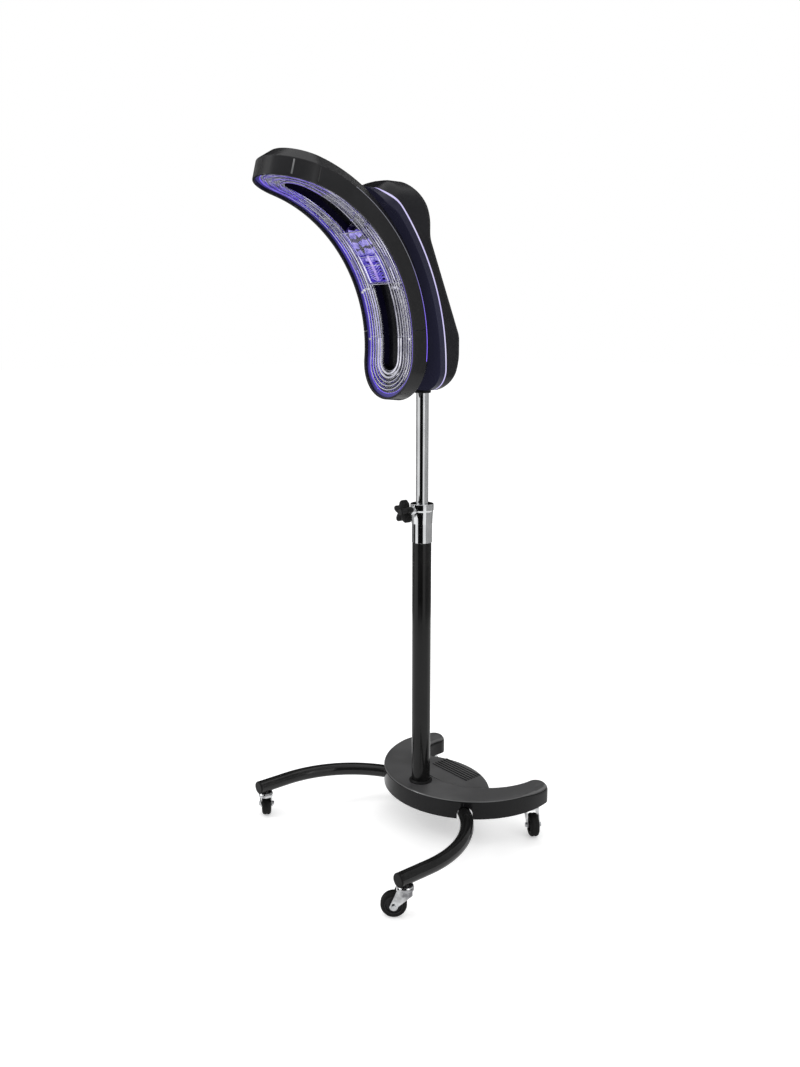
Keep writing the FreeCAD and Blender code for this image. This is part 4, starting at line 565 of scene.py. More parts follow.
def loftRings(name, rings, skin, body, smooth=shadeAngle):
    # closed rings of equal length, joined in order and capped at both ends
    shape = bmesh.new()
    rows = [[shape.verts.new(point) for point in ring] for ring in rings]
    count = len(rows[0])
    for lower, upper in zip(rows, rows[1:]):
        for index in range(count):
            after = (index + 1) % count
            shape.faces.new((lower[index], lower[after], upper[after], upper[index]))
    for row in (rows[0], rows[-1]):
        middle = shape.verts.new(sum((vert.co for vert in row), Vector()) / count)
        for index in range(count):
            shape.faces.new((row[index], row[(index + 1) % count], middle))
    return finishMesh(name, shape, skin, body, smooth)


def spunRing(name, profile, place, axis, skin, body, sides=64):
    # closed profile of (radius, height) turned about an axis through place
    turn = Vector(axis).to_track_quat("Z", "Y").to_matrix()
    shape = bmesh.new()
    rows = []
    for index in range(sides):
        swing = 2 * math.pi * index / sides
        rows.append([shape.verts.new(Vector(place) + turn @ Vector(
            (radius * math.cos(swing), radius * math.sin(swing), height)))
            for radius, height in profile])
    for index in range(sides):
        here, after = rows[index], rows[(index + 1) % sides]
        for step in range(len(profile)):
            following = (step + 1) % len(profile)
            shape.faces.new((here[step], after[step], after[following], here[following]))
    return finishMesh(name, shape, skin, body)


def mergedCopy(node):
    shape = bmesh.new()
    shape.from_mesh(nodes[node].data)
    bmesh.ops.remove_doubles(shape, verts=shape.verts, dist=weld)
    return shape


def sliced(shape, axis, low, high, step):
    # extra edges where the shape is to bend
    way = Vector([1 if index == axis else 0 for index in range(3)])
    for cut in range(round((high - low) / step) + 1):
        bmesh.ops.bisect_plane(shape, geom=shape.verts[:] + shape.edges[:] + shape.faces[:],
                               plane_co=way * (low + cut * step), plane_no=way, dist=weld)


softening = dict(flat=0.6, sharp=32, segments=2, shade=32)


def softened(node, width, reshape=None, slices=(), sideSkin=None, sideLimit=0.4):
    # the solid again, with its sharp edges broken as the real one's are
    shape = mergedCopy(node)
    for axis, low, high, step in slices:
        sliced(shape, axis, low, high, step)
    if reshape:
        for vert in shape.verts:
            vert.co = reshape(vert.co)
    if not slices:
        bmesh.ops.dissolve_limit(shape, angle_limit=math.radians(softening["flat"]),
                                 verts=shape.verts, edges=shape.edges)
    sharp = [edge for edge in shape.edges if len(edge.link_faces) == 2
             and edge.calc_face_angle() > math.radians(softening["sharp"])]
    bmesh.ops.bevel(shape, geom=sharp, offset=width, offset_type="OFFSET", profile=0.5,
                    segments=softening["segments"], affect="EDGES", clamp_overlap=True)
    name = node + "Soft"
    piece = newPiece(name, meshFrom(name, shape), skinOf[node], nodes[node]["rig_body"],
                     softening["shade"], weigh=True)
    if sideSkin:
        piece.data.materials.append(skins[sideSkin])
        for face in piece.data.polygons:
            face.material_index = 1 if face.normal.z < sideLimit else 0
    standsFor(piece, node)
    return piece


# moulded parts and their softened edges

edgeBreaks = {
    "arc_shell": 0.0011, "arc_end_shell": 0.0011, "control_panel": 0.0009,
    "power_inlet": 0.0006, "neck_collar": 0.0008, "power_rocker": 0.0004,
    "clamp_collar": 0.0004, "collar_sleeve": 0.0002,
    "module_case": 0.0003, "louvre_grille": 0.0002, "head_bracket": 0.0005,
    "arc_bridge": 0.0008, "base_frame": 0.0006, "pole_socket": 0.0005,
}
casterBreak = 0.0003
for node, width in edgeBreaks.items():
    softened(node, width)

dome = dict(edge=-0.150, run=0.034, lift=0.017, low=1.225, to=1.318, half=0.076, droop=0.010,
            fall=0.35, breaks=dict(front_housing=0.0012, rear_cover=0.0007, light_band=0.0002))
# axis, first cut, last cut and distance between cuts
domeSlices = ((2, 1.232, 1.328, 0.008), (0, -0.070, 0.070, 0.010), (1, -0.146, -0.066, 0.008))


def smoothStep(share):
    share = min(1.0, max(0.0, share))
    return share * share * (3 - 2 * share)


def domeTop(point, look=dome):
    # the housing's top is arched across, and swells upward behind the light band
    weight = smoothStep((point.z - look["low"]) / (look["to"] - look["low"]))
    across = min(1.0, abs(point.x) / look["half"])
    swell = look["lift"] * smoothStep((point.y - look["edge"]) / look["run"])
    moved = point.copy()
    moved.z += weight * (swell * (1 - look["fall"] * across ** 2) - look["droop"] * across ** 3)
    return moved


for node, width in dome["breaks"].items():
    softened(node, width, reshape=domeTop, slices=domeSlices)
for corner in corners:
    softened(f"caster_fork_{corner}", casterBreak)
    softened(f"caster_hub_{corner}", casterBreak)
print("moulded parts softened:", len(edgeBreaks) + len(dome["breaks"]) + 2 * len(corners))


# base cover, with a crisp crease where its top meets the outer skirt, its top painted lighter and
# its skirt darker as painted light and shade

cover = dict(rimRadius=0.198, rimCentre=0.150, round=0.016, crease=0.005, top=0.108, wall=0.003,
             fadeFrom=78.0, fadeTo=100.0, highlightLow=0.55, highlightHigh=0.80, highlightAbove=0.1,
             slack=0.00005, match=0.0004, edge=0.0007, skirtBelow=0.42)
deck = dict(edge=0.0005, skirtBelow=0.6)


def creaseRim(point, look=cover):
    # draw the wide outer rounding out to a tight one, and leave the horn tips round
    across = Vector((point.x, point.y - look["rimCentre"]))
    swing = abs(math.degrees(math.atan2(across.x, -across.y)))
    keep = 1 - smoothStep((swing - look["fadeFrom"]) / (look["fadeTo"] - look["fadeFrom"]))
    moved = point.copy()
    for inset in (0.0, look["wall"]):
        reach = look["round"] - inset
        middle = look["rimRadius"] - look["round"], look["top"] - look["round"]
        out, up = across.length - middle[0], point.z - middle[1]
        if min(out, up) < -look["slack"] or abs(math.hypot(out, up) - reach) > look["match"]:
            continue
        tight = look["crease"] - inset / 2
        shift = reach - tight
        target = (middle[0] + shift + out / reach * tight, middle[1] + shift + up / reach * tight)
        grown = across.length + (target[0] - across.length) * keep
        moved.x = across.x / across.length * grown
        moved.y = look["rimCentre"] + across.y / across.length * grown
        moved.z = point.z + (target[1] - point.z) * keep
        break
    return moved


# faces turned to the side take the darker skirt skin: painted shade on the skirt
topCover = softened("base_cover", cover["edge"], reshape=creaseRim, sideSkin="glossSkirt",
                    sideLimit=cover["skirtBelow"])
# the crease faces take a lighter skin: a painted highlight
topCover.data.materials.append(skins["creaseSheen"])
for face in topCover.data.polygons:
    if (cover["highlightLow"] < face.normal.z < cover["highlightHigh"]
            and face.center.z > cover["highlightAbove"]):
        face.material_index = 2
# the deck's steep walls take the darker skirt skin too: painted shade
softened("base_deck", deck["edge"], sideSkin="glossSkirt", sideLimit=deck["skirtBelow"])
coverScrew = dict(angles=(-95, -60, -25, 25, 60, 95), reach=0.171, level=0.0914, radius=0.0042,
                  height=0.0016)
coverSpots = []
for angle in coverScrew["angles"]:
    turn = math.radians(angle)
    coverSpots.append((Vector((coverScrew["reach"] * math.sin(turn),
                               cover["rimCentre"] - coverScrew["reach"] * math.cos(turn),
                               coverScrew["level"])), Vector((0, 0, -1))))
screws("coverScrews", coverSpots, coverScrew["radius"], coverScrew["height"], "base")
print("base cover done")


# casters: tyres with a rounded tread, axle nuts and a cover over each swivel bearing

caster = dict(trail=0.022, wheelRadius=0.025, wheelWidth=0.020, tyreInner=0.018, bead=0.0008,
              tread=0.0062, treadSteps=7, groove=0.0006, grooveTop=0.0024, grooveFoot=0.0018,
              tyreSides=72, nutReach=0.0137, nutRadius=0.0052, nutHeight=0.0034,
              cap=((0.0055, 0.0602), (0.0155, 0.0602), (0.0159, 0.0607), (0.0145, 0.0626),
                   (0.0115, 0.0628), (0.0055, 0.0628)), capSides=48)
# x, y and turn of each swivel
casterPlaces = {"front_left": (-0.245, -0.246, -34), "front_right": (0.245, -0.246, 50),
                "rear_left": (-0.16897, 0.17212, -60), "rear_right": (0.16897, 0.17212, 147)}


def roundTyre(name, place, axis, body):
    # half of the section, then its mirror image
    half, outer, inner = caster["wheelWidth"] / 2, caster["wheelRadius"], caster["tyreInner"]
    soft, bead, steps = caster["tread"], caster["bead"], caster["treadSteps"]
    profile = [(inner, half - bead), (inner + bead, half)]
    for step in range(steps + 1):
        turn = step / steps * math.pi / 2
        profile.append((outer - soft + soft * math.sin(turn), half - soft + soft * math.cos(turn)))
    profile += [(outer, caster["grooveTop"]), (outer - caster["groove"], caster["grooveFoot"])]
    profile += [(reach, -height) for reach, height in reversed(profile)]
    return spunRing(name, profile, place, axis, "tyreRubber", body, caster["tyreSides"])


for corner, (x, y, yaw) in casterPlaces.items():
    turn = math.radians(yaw)
    axis = Vector((-math.sin(turn), math.cos(turn), 0))
    hub = Vector((x - caster["trail"] * math.cos(turn), y - caster["trail"] * math.sin(turn),
                  caster["wheelRadius"]))
    tyre = roundTyre(f"tyre_{corner}", hub, axis, f"wheel_{corner}")
    standsFor(tyre, f"caster_tyre_{corner}")
    reach = caster["nutReach"] + caster["nutHeight"] / 2
    stamps(f"axleNuts_{corner}", studTree,
           [(hub + axis * reach, axis), (hub - axis * reach, -axis)],
           {"Sides": 6, "Radius": caster["nutRadius"], "Height": caster["nutHeight"]},
           "zincSteel", f"caster_{corner}")
    spunRing(f"bearingCap_{corner}", caster["cap"], (x, y, 0), (0, 0, 1), "chromeBright", "base",
             caster["capSides"])
print("casters done")


# clamp knob: a five-lobed star with soft edges

knob = dict(height=0.710, face=0.037, thick=0.020, root=0.0128, lobe=0.0118, lobes=5,
            sharpness=0.8, edge=0.0035, edgeSteps=5, neck=0.00576, neckLong=0.003, dome=0.0016,
            crown=((0.33, 0.5), (0.51, 0.9)), sides=120, capSides=40, capSunk=0.0002,
            cap=((0.0001, 0.0), (0.0062, 0.0), (0.0062, 0.0006), (0.0055, 0.0011),
                 (0.0001, 0.0013)))


def starRing(depth, shrink, look=knob):
    ring = []
    for index in range(look["sides"]):
        turn = 2 * math.pi * index / look["sides"]
        swell = (0.5 + 0.5 * math.cos(look["lobes"] * turn)) ** look["sharpness"]
        reach = look["root"] + look["lobe"] * swell - shrink
        ring.append(Vector((reach * math.sin(turn), -depth, look["height"]
                            + reach * math.cos(turn))))
    return ring


def starKnob(look=knob):
    # neck, both rounded edges and a low crown
    soft, start = look["edge"], look["face"] + look["neckLong"]
    end = look["face"] + look["thick"]
    turns = [step / look["edgeSteps"] * math.pi / 2 for step in range(look["edgeSteps"] + 1)]
    rings = [starRing(depth, look["neck"]) for depth in (look["face"], start)]
    rings += [starRing(start + soft * (1 - math.cos(turn)), soft * (1 - math.sin(turn)))
              for turn in turns]
    rings += [starRing(end - soft + soft * math.sin(turn), soft * (1 - math.cos(turn)))
              for turn in turns]
    rings += [starRing(end + look["dome"] * lift, soft + look["root"] * share)
              for share, lift in look["crown"]]
    return loftRings("starKnob", rings, "mattBlack", "knob", 50)


standsFor(starKnob(), "clamp_knob")
knobFront = knob["face"] + knob["thick"] + knob["dome"]
spunRing("knobCap", knob["cap"], (0, knob["capSunk"] - knobFront, knob["height"]), (0, -1, 0),
         "hubPlastic", "knob", knob["capSides"])
print("clamp knob done")


# arc geometry: across the arc, behind its rim, and round its centre

arc = dict(centreY=-0.3667, centreZ=1.0431, radius=0.279, low=-5.4, high=75.4, half=0.0777,
           step=0.004)


def arcSpot(x, depth, angle, along=0.0):
    # along runs off flat past an end
    turn = math.radians(angle)
    out = Vector((0, math.cos(turn), math.sin(turn)))
    up = Vector((0, -math.sin(turn), math.cos(turn)))
    centre = Vector((0, arc["centreY"], arc["centreZ"]))
    return centre + Vector((x, 0, 0)) + out * (arc["radius"] + depth) + up * along


def arcInward(angle):
    turn = math.radians(angle)
    return Vector((0, -math.cos(turn), -math.sin(turn)))


def sideRun(x, depth, start, end):
    rows = max(2, round(abs(math.radians(end - start)) * (arc["radius"] + depth) / arc["step"]))
    return [arcSpot(x, depth, start + (end - start) * row / rows) for row in range(rows + 1)]


def endBend(reach, depth, angle, way):
    # half ring past an end, from +x to -x
    bends = max(8, round(math.pi * reach / arc["step"]))
    return [arcSpot(reach * math.cos(math.pi * bend / bends), depth, angle,
                    way * reach * math.sin(math.pi * bend / bends)) for bend in range(1, bends)]


def hoop(reach, depth, start, end):
    # closed loop up one side, round the tip, down the other side and round the foot
    loop = sideRun(reach, depth, start, end) + endBend(reach, depth, end, 1)
    loop += sideRun(-reach, depth, end, start)
    return loop + endBend(reach, depth, start, -1)[::-1], True


def hook(reach, depth, angle, end, way):
    # open loop that starts at an angle on one side, rounds the end and comes back
    run = sideRun(reach, depth, angle, end) + endBend(reach, depth, end, way)
    return run + sideRun(-reach, depth, end, angle), False


# lens: a pale line on the outer shoulder of every rib as a painted highlight, and the clips that
# hold the panes

lens = dict(firstRib=0.0265, pitch=0.0076, ribWidth=0.0034, ribs=5, crest=0.0034, line=0.00066,
            upperLine=0.00050, tipLine=0.00045, footLine=0.0012, footFrom=3.0, moduleLow=24.2,
            moduleHigh=47.5, slot=0.0218, face=0.0068, tipFrom=68.0, rim=0.0652, edgeLine=0.0006,
            footRibs=(0, 1), footSides=8)
ribLines, upperLines, tipLines = [], [], []
for rib in range(lens["ribs"]):
    reach = lens["firstRib"] + lens["pitch"] * rib + lens["ribWidth"] / 2
    start = lens["moduleHigh"] if rib else lens["moduleLow"]
    ribLines.append(hook(reach, lens["crest"], start, arc["low"], -1))
    if rib % 2:
        continue
    # every other rib carries a line on the upper pane, so that dark gaps stay between them
    tipLines.append(hook(reach, lens["crest"], lens["tipFrom"], arc["high"], 1))
    for side in (1, -1):
        upperLines.append((sideRun(side * reach, lens["crest"], lens["moduleHigh"],
                                   lens["tipFrom"]), False))
bars("ribLines", ribLines, lens["line"], "frostedRib")
bars("upperLines", upperLines, lens["upperLine"], "frostedRib")
bars("tipLines", tipLines, lens["tipLine"], "litRib")
# the inner shoulders of the two inner ribs catch more light at the foot, so they get wide painted
# highlight lines there
footLines = [hook(lens["firstRib"] + lens["pitch"] * rib, lens["crest"], lens["footFrom"],
                  arc["low"], -1) for rib in lens["footRibs"]]
bars("footLines", footLines, lens["footLine"], "frostedRib", sides=lens["footSides"])
slotLines = [hook(lens["slot"], lens["face"], lens["moduleHigh"], arc["high"], 1),
             hook(lens["slot"], lens["face"], lens["moduleLow"], arc["low"], -1)]
bars("slotLines", slotLines, lens["edgeLine"], "frostedRib")
bars("rimLine", [hoop(lens["rim"], lens["face"], arc["low"], arc["high"])], lens["edgeLine"],
     "litRib")

# clips as (angle, x), with one on each side
clips = dict(lower=((22.6, 0.036), (22.6, 0.044), (22.2, 0.052), (21.4, 0.060), (2.6, 0.0615)),
             upper=((50.0, 0.0575), (53.0, 0.0300), (56.0, 0.0540)),
             size=(0.0056, 0.0040, 0.0024), sunk=0.0004, screw=0.0018, screwHeight=0.0016,
             screwEvery=3)


def onLens(places, sunk):
    return [(arcSpot(side * x, lens["crest"] - sunk, angle), arcInward(angle))
            for angle, x in places for side in (1, -1)]


lowerClips = onLens(clips["lower"], clips["sunk"])
blocks("paneClips", lowerClips, clips["size"], "frostedRib")
screws("paneScrews", [(spot + way * (clips["size"][2] / 2), way)
                      for spot, way in lowerClips[::clips["screwEvery"]]],
       clips["screw"], clips["screwHeight"])
blocks("upperClips", onLens(clips["upper"], clips["sunk"]), clips["size"], "paleBlock")

seams = dict(angles=(3.7, 24.2), run=(0.0225, 0.035, 0.050, 0.0650), radius=0.0006)
seamBars = [([arcSpot(side * x, lens["face"], angle) for x in seams["run"]], False)
            for angle in seams["angles"] for side in (1, -1)]
bars("paneSeams", seamBars, seams["radius"], "frostedRib")
print("lens lines and clips done")


# light strip: bright on the side that faces the lens, dim on its front

# a face turned further than this to the front or the back is dim
stripFlat = 0.6


def splitStrip():
    mesh = meshFrom("stripLight", mergedCopy("led_strip"))
    piece = newPiece("stripLight", mesh, "stripGlow", "head", softening["shade"])
    mesh.materials.append(skins["stripFront"])
    centre = Vector((0, arc["centreY"], arc["centreZ"]))
    for face in mesh.polygons:
        away = face.center - centre
        out = Vector((0, away.y, away.z)).normalized()
        if abs(face.normal.dot(out)) > stripFlat:
            face.material_index = 1
            continue
        angle = math.degrees(math.atan2(away.z, away.y))
        hold = min(arc["high"], max(arc["low"], angle))
        core = arcSpot(0, Vector((0, away.y, away.z)).length - arc["radius"], hold)
        inward = core - face.center if hold != angle else Vector((-face.center.x, 0, 0))
        face.material_index = 0 if face.normal.dot(inward) > 0 else 1
    standsFor(piece, "led_strip")


splitStrip()
# the bar on each side of the shell's crease that carries the painted glow
creaseBar = dict(depth=0.0323, radius=0.0006, top=62.0, sides=8)
creaseBars = [(sideRun(side * arc["half"], creaseBar["depth"], arc["low"], creaseBar["top"]), False)
         for side in (1, -1)]
bars("creaseGlowLines", creaseBars, creaseBar["radius"], "creaseGlow", sides=creaseBar["sides"])
print("light strip done")


# module: reflector tiles as (x, angle, width, length), and clear tiles below them

module = dict(tiles=((0.009, 45.6, 0.021, 0.0130), (-0.014, 45.0, 0.013, 0.0150),
                     (0.0245, 41.6, 0.010, 0.0120), (0.011, 41.4, 0.012, 0.0110),
                     (-0.004, 40.8, 0.013, 0.0120), (-0.020, 40.6, 0.013, 0.0120),
                     (0.020, 37.6, 0.016, 0.0110), (0.001, 37.4, 0.014, 0.0110),
                     (-0.019, 37.2, 0.015, 0.0110)),
              depth=0.0088, steps=(0.0, 0.0016, -0.0012), thick=0.0018, lean=0.16, rise=0.6,
              clear=((-0.0225, 34.2), (-0.0080, 34.5), (0.0075, 34.3), (0.0225, 34.5)),
              clearSize=(0.0115, 0.0085, 0.0016), clearDepth=0.0050,
              wings=((33.0, 0.0530),), wingSize=(0.0080, 0.0220, 0.0022), wingSunk=0.0006)
for index, (x, angle, width, length) in enumerate(module["tiles"]):
    lean = module["lean"] * (1 if index % 2 else -1)
    way = (arcInward(angle) + Vector((lean, 0, lean * module["rise"]))).normalized()
    depth = module["depth"] + module["steps"][index % len(module["steps"])]
    blocks(f"reflector{index}", [(arcSpot(x, depth, angle), way)],
           (width, length, module["thick"]), "cupGlow")
blocks("clearTiles", [(arcSpot(x, module["clearDepth"], angle), arcInward(angle))
                      for x, angle in module["clear"]], module["clearSize"], "cupGlow")
blocks("clearWings", onLens(module["wings"], module["wingSunk"]), module["wingSize"], "paleBlock")

chevron = dict(rows=7, low=25.6, high=31.4, inner=0.0034, outer=0.0185, slant=1.5, depth=0.0042,
               radius=0.0007)
chevrons = []
for row in range(chevron["rows"]):
    angle = chevron["low"] + (chevron["high"] - chevron["low"]) * row / (chevron["rows"] - 1)
    for side in (1, -1):
        chevrons.append(([arcSpot(side * chevron["inner"], chevron["depth"], angle),
                          arcSpot(side * chevron["outer"], chevron["depth"],
                                  angle + chevron["slant"])], False))
bars("chevrons", chevrons, chevron["radius"], "cupGlow")

boxTrim = dict(half=0.0308, across=(-0.0308, -0.015, 0, 0.015, 0.0308), depth=0.0012,
               angles=(24.35, 32.2, 36.0, 47.35), radius=0.0005)
trimBars = [([arcSpot(x, boxTrim["depth"], angle) for x in boxTrim["across"]], False)
            for angle in boxTrim["angles"]]
trimBars += [(sideRun(side * boxTrim["half"], boxTrim["depth"], boxTrim["angles"][0],
                      boxTrim["angles"][-1]), False) for side in (1, -1)]
bars("moduleEdges", trimBars, boxTrim["radius"], "frostedRib")

spine = dict(slim=0.62, edge=0.0003)


def slimSpine(point):
    moved = point.copy()
    moved.x *= spine["slim"]
    return moved


softened("lamp_spine", spine["edge"], reshape=slimSpine)
print("module done")


# shell: shallow ridges on the end wall, coloured lighter than the shell as painted highlights

# pairs as (turn from the side, radius, painted highlight colour)
ridges = dict(low=0.0045, high=0.0295, sides=10,
              pairs=((40.0, 0.0015, "ridgeGrey"), (5.0, 0.0009, "ridgeDim")))


def ridgeRun(swing, look=ridges):
    turn = math.radians(swing)
    return [arcSpot(arc["half"] * math.cos(turn), depth, arc["high"],
                    arc["half"] * math.sin(turn)) for depth in (look["low"], look["high"])], False


for swing, radius, skin in ridges["pairs"]:
    bars(f"endRidges{swing:.0f}", [ridgeRun(swing), ridgeRun(180 - swing)], radius, skin,
         sides=ridges["sides"])


# console: panel trim, display figures and raised marks on the buttons

console = dict(low=(0.037, 1.062), high=(-0.040, 1.244), face=0.005, windowMiddle=-0.046,
               inkSunk=0.0002, inkProud=0.0001)
rise = math.atan2(console["high"][1] - console["low"][1], console["low"][0] - console["high"][0])
consoleAxes = (Vector((1, 0, 0)), Vector((0, math.cos(rise), -math.sin(rise))),
               Vector((0, math.sin(rise), math.cos(rise))))
consoleMiddle = Vector((0, (console["low"][0] + console["high"][0]) / 2,
                        (console["low"][1] + console["high"][1]) / 2))


def onConsole(x, down, out):
    # seen from behind the housing, +x of the panel runs to the left
    across, along, away = consoleAxes
    return consoleMiddle + across * x + along * down + away * out


def plate(name, shapes, low, high, skin, body):
    # flat shapes in the panel's plane, given as lists of (x, down)
    shape = bmesh.new()
    for points in shapes:
        lower = [shape.verts.new(onConsole(x, down, low)) for x, down in points]
        upper = [shape.verts.new(onConsole(x, down, high)) for x, down in points]
        shape.faces.new(lower)
        shape.faces.new(upper)
        for index in range(len(points)):
            after = (index + 1) % len(points)
            shape.faces.new((lower[index], lower[after], upper[after], upper[index]))
    return finishMesh(name, shape, skin, body)


segments = {"top": (0, -1, True), "middle": (0, 0, True), "bottom": (0, 1, True),
            "upperLeft": (1, -0.5, False), "upperRight": (-1, -0.5, False),
            "lowerLeft": (1, 0.5, False), "lowerRight": (-1, 0.5, False)}
figures = {"2": ("top", "upperRight", "middle", "lowerLeft", "bottom"),
           "5": ("top", "upperLeft", "middle", "lowerRight", "bottom")}
display = dict(width=0.0066, height=0.0084, bar=0.0009, gap=0.0006, text="25", spacing=0.0122)


def segmentShape(x, down, flat):
    reach = (display["width"] if flat else display["height"]) / 2 - display["gap"]
    bar = display["bar"]
    ends = [(-reach, 0), (-reach + bar, -bar), (reach - bar, -bar), (reach, 0),
            (reach - bar, bar), (-reach + bar, bar)]
    return [(x + a, down + b) if flat else (x + b, down + a) for a, b in ends]


def oblong(x, down, width, height):
    across, along = width / 2, height / 2
    return [(x - across, down - along), (x + across, down - along),
            (x + across, down + along), (x - across, down + along)]


lit = []
for place, figure in enumerate(display["text"]):
    middle = display["spacing"] * ((len(display["text"]) - 1) / 2 - place)
    for segment in figures[figure]:
        sideways, level, flat = segments[segment]
        lit.append(segmentShape(middle + sideways * display["width"] / 2,
                                console["windowMiddle"] + level * display["height"], flat))
ticks = dict(count=5, pitch=0.009, below=0.0131, width=0.006, height=0.0012)
for tick in range(ticks["count"]):
    lit.append(oblong(ticks["pitch"] * (tick - (ticks["count"] - 1) / 2),
                      console["windowMiddle"] + ticks["below"], ticks["width"], ticks["height"]))
plate("displayFigures", lit, console["face"] - console["inkSunk"],
      console["face"] + console["inkProud"], "displayGlow", "head")

marks = dict(low=0.0063, high=0.0068, size=0.0060, bar=0.0012, arrow=0.0024,
             levels=(-0.0022, 0, 0.0022))
buttonSpots = {"start": (-0.018, 0.012), "mode": (0.018, 0.012), "less": (-0.018, 0.042),
               "more": (0.018, 0.042)}
lying = [oblong(0, 0, marks["size"], marks["bar"])]
upright = [oblong(0, end * (marks["size"] + marks["bar"]) / 4, marks["bar"],
                  (marks["size"] - marks["bar"]) / 2) for end in (-1, 1)]
glyphs = {
    "start": [[(-marks["arrow"], -marks["size"] / 2), (marks["size"] / 2, 0),
               (-marks["arrow"], marks["size"] / 2)]],
    "mode": [oblong(0, level, marks["size"], marks["bar"]) for level in marks["levels"]],
    "less": lying,
    "more": lying + upright,
}
for button, (x, down) in buttonSpots.items():
    plate(f"mark_{button}", [[(x + a, down + b) for a, b in points] for points in glyphs[button]],
          marks["low"], marks["high"], "glyphWhite", f"key_{button}")

# loops of the trim as (width, length, corner, middle)
panelTrim = dict(loops=((0.088, 0.142, 0.007, 0), (0.0665, 0.0365, 0.002, -0.046)),
                 cornerSteps=8, radius=0.0004)


def roundedLoop(width, length, corner, middle):
    loop = []
    for i, j, start in ((1, 1, 0), (-1, 1, 90), (-1, -1, 180), (1, -1, 270)):
        for step in range(panelTrim["cornerSteps"] + 1):
            turn = math.radians(start + 90 * step / panelTrim["cornerSteps"])
            loop.append(onConsole(i * (width / 2 - corner) + corner * math.cos(turn),
                                  middle + j * (length / 2 - corner)
                                  + corner * math.sin(turn), console["face"]))
    return loop


bars("panelTrim", [(roundedLoop(*loop), True) for loop in panelTrim["loops"]],
     panelTrim["radius"], "zincSteel")

fixings = dict(x=0.058, down=0.084, lift=0.0004, radius=0.0034, height=0.0014)
screws("coverFixings", [(onConsole(i * fixings["x"], j * fixings["down"], fixings["lift"]),
                         consoleAxes[2]) for i in (-1, 1) for j in (-1, 1)],
       fixings["radius"], fixings["height"])
print("console done")


# rocker: the usual line and ring for on and off

rocker = dict(x=0.022, face=0.0398, z=1.043, line=(0.0022, 0.0048), ring=-0.0036,
              ringRadius=0.0017, ringSteps=20, thick=0.00032)


def onRocker(x, z):
    return Vector((rocker["x"] + x, rocker["face"], rocker["z"] + z))


offRing = []
for step in range(rocker["ringSteps"]):
    turn = 2 * math.pi * step / rocker["ringSteps"]
    offRing.append(onRocker(rocker["ringRadius"] * math.cos(turn),
                            rocker["ring"] + rocker["ringRadius"] * math.sin(turn)))
bars("rockerMarks", [([onRocker(0, z) for z in rocker["line"]], False), (offRing, True)],
     rocker["thick"], "glyphWhite", "rocker")
print("switch done")


# studio

studio = dict(floorSize=60.0, floorShade=0.9, floorRough=0.9, floorLift=0.36, worldLight=0.86)


def paleFloor(name, look):
    # plain white to the camera, in chrome and through the lens, with the soft shadow kept
    material, tree, shader = startMaterial(name)
    setInputs(shader, {"Base Color": (*[look["floorShade"]] * 3, 1),
                       "Roughness": look["floorRough"], "Specular IOR Level": 0.0,
                       "Emission Color": (1, 1, 1, 1)})
    rays = addNode(tree, "ShaderNodeLightPath")
    seen = largestOf(tree, rays.outputs["Is Camera Ray"], rays.outputs["Is Transmission Ray"])
    wire(tree, shader, {"Emission Strength": scaledBy(tree, seen, look["floorLift"])})
    return material


def standing(name, corners, material):
    mesh = bpy.data.meshes.new(name)
    mesh.from_pydata(corners, [], [(0, 1, 2, 3)])
    mesh.materials.append(material)
    holder = addObject(name, mesh)
    return holder


half = studio["floorSize"] / 2
standing("floor", [(-half, -half, 0), (half, -half, 0), (half, half, 0), (-half, half, 0)],
         paleFloor("floorWhite", studio))


def cardPaint(name, shade):
    material, _, shader = startMaterial(name)
    setInputs(shader, {"Base Color": (*[shade] * 3, 1), "Roughness": 1.0,
                       "Specular IOR Level": 0.0})
    return material


black = cardPaint("flagBlack", 0.004)
grey = cardPaint("flagGrey", 0.36)

# upright cards round the stand, by bearing from the camera's side; only reflections see them
cards = dict(away=1.7, step=30,
             spans=((-46, 13, 0, 1.75, black), (44, 140, 0, 1.75, grey), (140, 220, 0, 3.6, black),
                    (220, 262, 0, 1.75, grey), (220, 500, 1.75, 3.2, grey)))
view = dict(bearing=49.4, distance=2.0069, height=1.0632, pitch=11.40, yaw=-1.3, lens=33.17)


def cardCorner(swing, height):
    turn = math.radians(view["bearing"] + swing - 90)
    return (cards["away"] * math.cos(turn), cards["away"] * math.sin(turn), height)


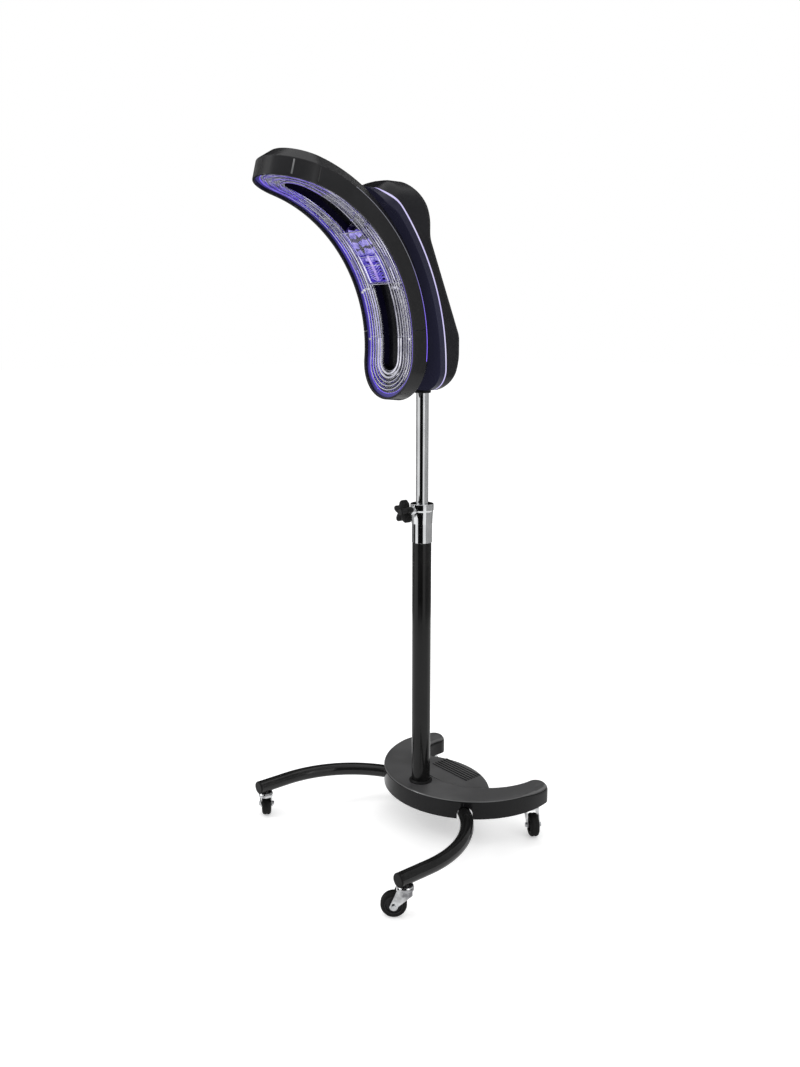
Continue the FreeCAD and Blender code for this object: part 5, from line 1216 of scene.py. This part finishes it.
for index, (start, end, low, high, paint) in enumerate(cards["spans"]):
    pieces = max(1, round((end - start) / cards["step"]))
    for piece in range(pieces):
        first = start + (end - start) * piece / pieces
        last = start + (end - start) * (piece + 1) / pieces
        card = standing(f"card{index}_{piece}",
                        [cardCorner(first, low), cardCorner(last, low),
                         cardCorner(last, high), cardCorner(first, high)], paint)
        for sight in ("camera", "diffuse", "transmission", "shadow"):
            setattr(card, "visible_" + sight, False)

world = bpy.data.worlds.new("studio")
bpy.context.scene.world = world
world.use_nodes = True
worldTree = world.node_tree
background = worldTree.nodes["Background"]
rays = addNode(worldTree, "ShaderNodeLightPath")
seen = largestOf(worldTree, rays.outputs["Is Camera Ray"], rays.outputs["Is Glossy Ray"])
through = largestOf(worldTree, seen, rays.outputs["Is Transmission Ray"])
light = remap(worldTree, through, studio["worldLight"], 1.0, 0.0, 1.0)
wire(worldTree, background, {"Strength": light})
background.inputs["Color"].default_value = (1, 1, 1, 1)


# lamps as (place, aim, size, power)
lamps = {"keyLamp": ((-1.6, -2.6, 2.6), (0, 0, 0.8), (0.5, 2.0), 26),
         "fillLamp": ((3.2, 0.6, 1.6), (0, 0, 0.8), (1.0, 2.4), 12),
         "rimLamp": ((-1.8, 2.2, 2.4), (0, 0, 1.0), (1.0, 1.6), 18)}


def softLamp(name, place, aim, size, power):
    lamp = bpy.data.lights.new(name, "AREA")
    lamp.shape = "RECTANGLE"
    lamp.size, lamp.size_y = size
    lamp.energy = power
    holder = addObject(name, lamp)
    holder.location = place
    holder.rotation_euler = (Vector(aim) - Vector(place)).to_track_quat("-Z", "Y").to_euler()


for name, look in lamps.items():
    softLamp(name, *look)


def aimCamera(view):
    turn, yaw, pitch = (math.radians(view[key]) for key in ("bearing", "yaw", "pitch"))
    ahead = Vector((-math.sin(turn), math.cos(turn), 0))
    beside = Vector((math.cos(turn), math.sin(turn), 0))
    heading = ahead * math.cos(yaw) + beside * math.sin(yaw)
    sight = heading * math.cos(pitch) + Vector((0, 0, -math.sin(pitch)))
    eye = bpy.data.cameras.new("camera")
    eye.lens = view["lens"]
    holder = addObject("camera", eye)
    holder.location = ahead * -view["distance"] + Vector((0, 0, view["height"]))
    holder.rotation_euler = sight.to_track_quat("-Z", "Y").to_euler()
    bpy.context.scene.camera = holder


aimCamera(view)
bpy.context.scene.view_settings.view_transform = "Standard"
print("studio ready")
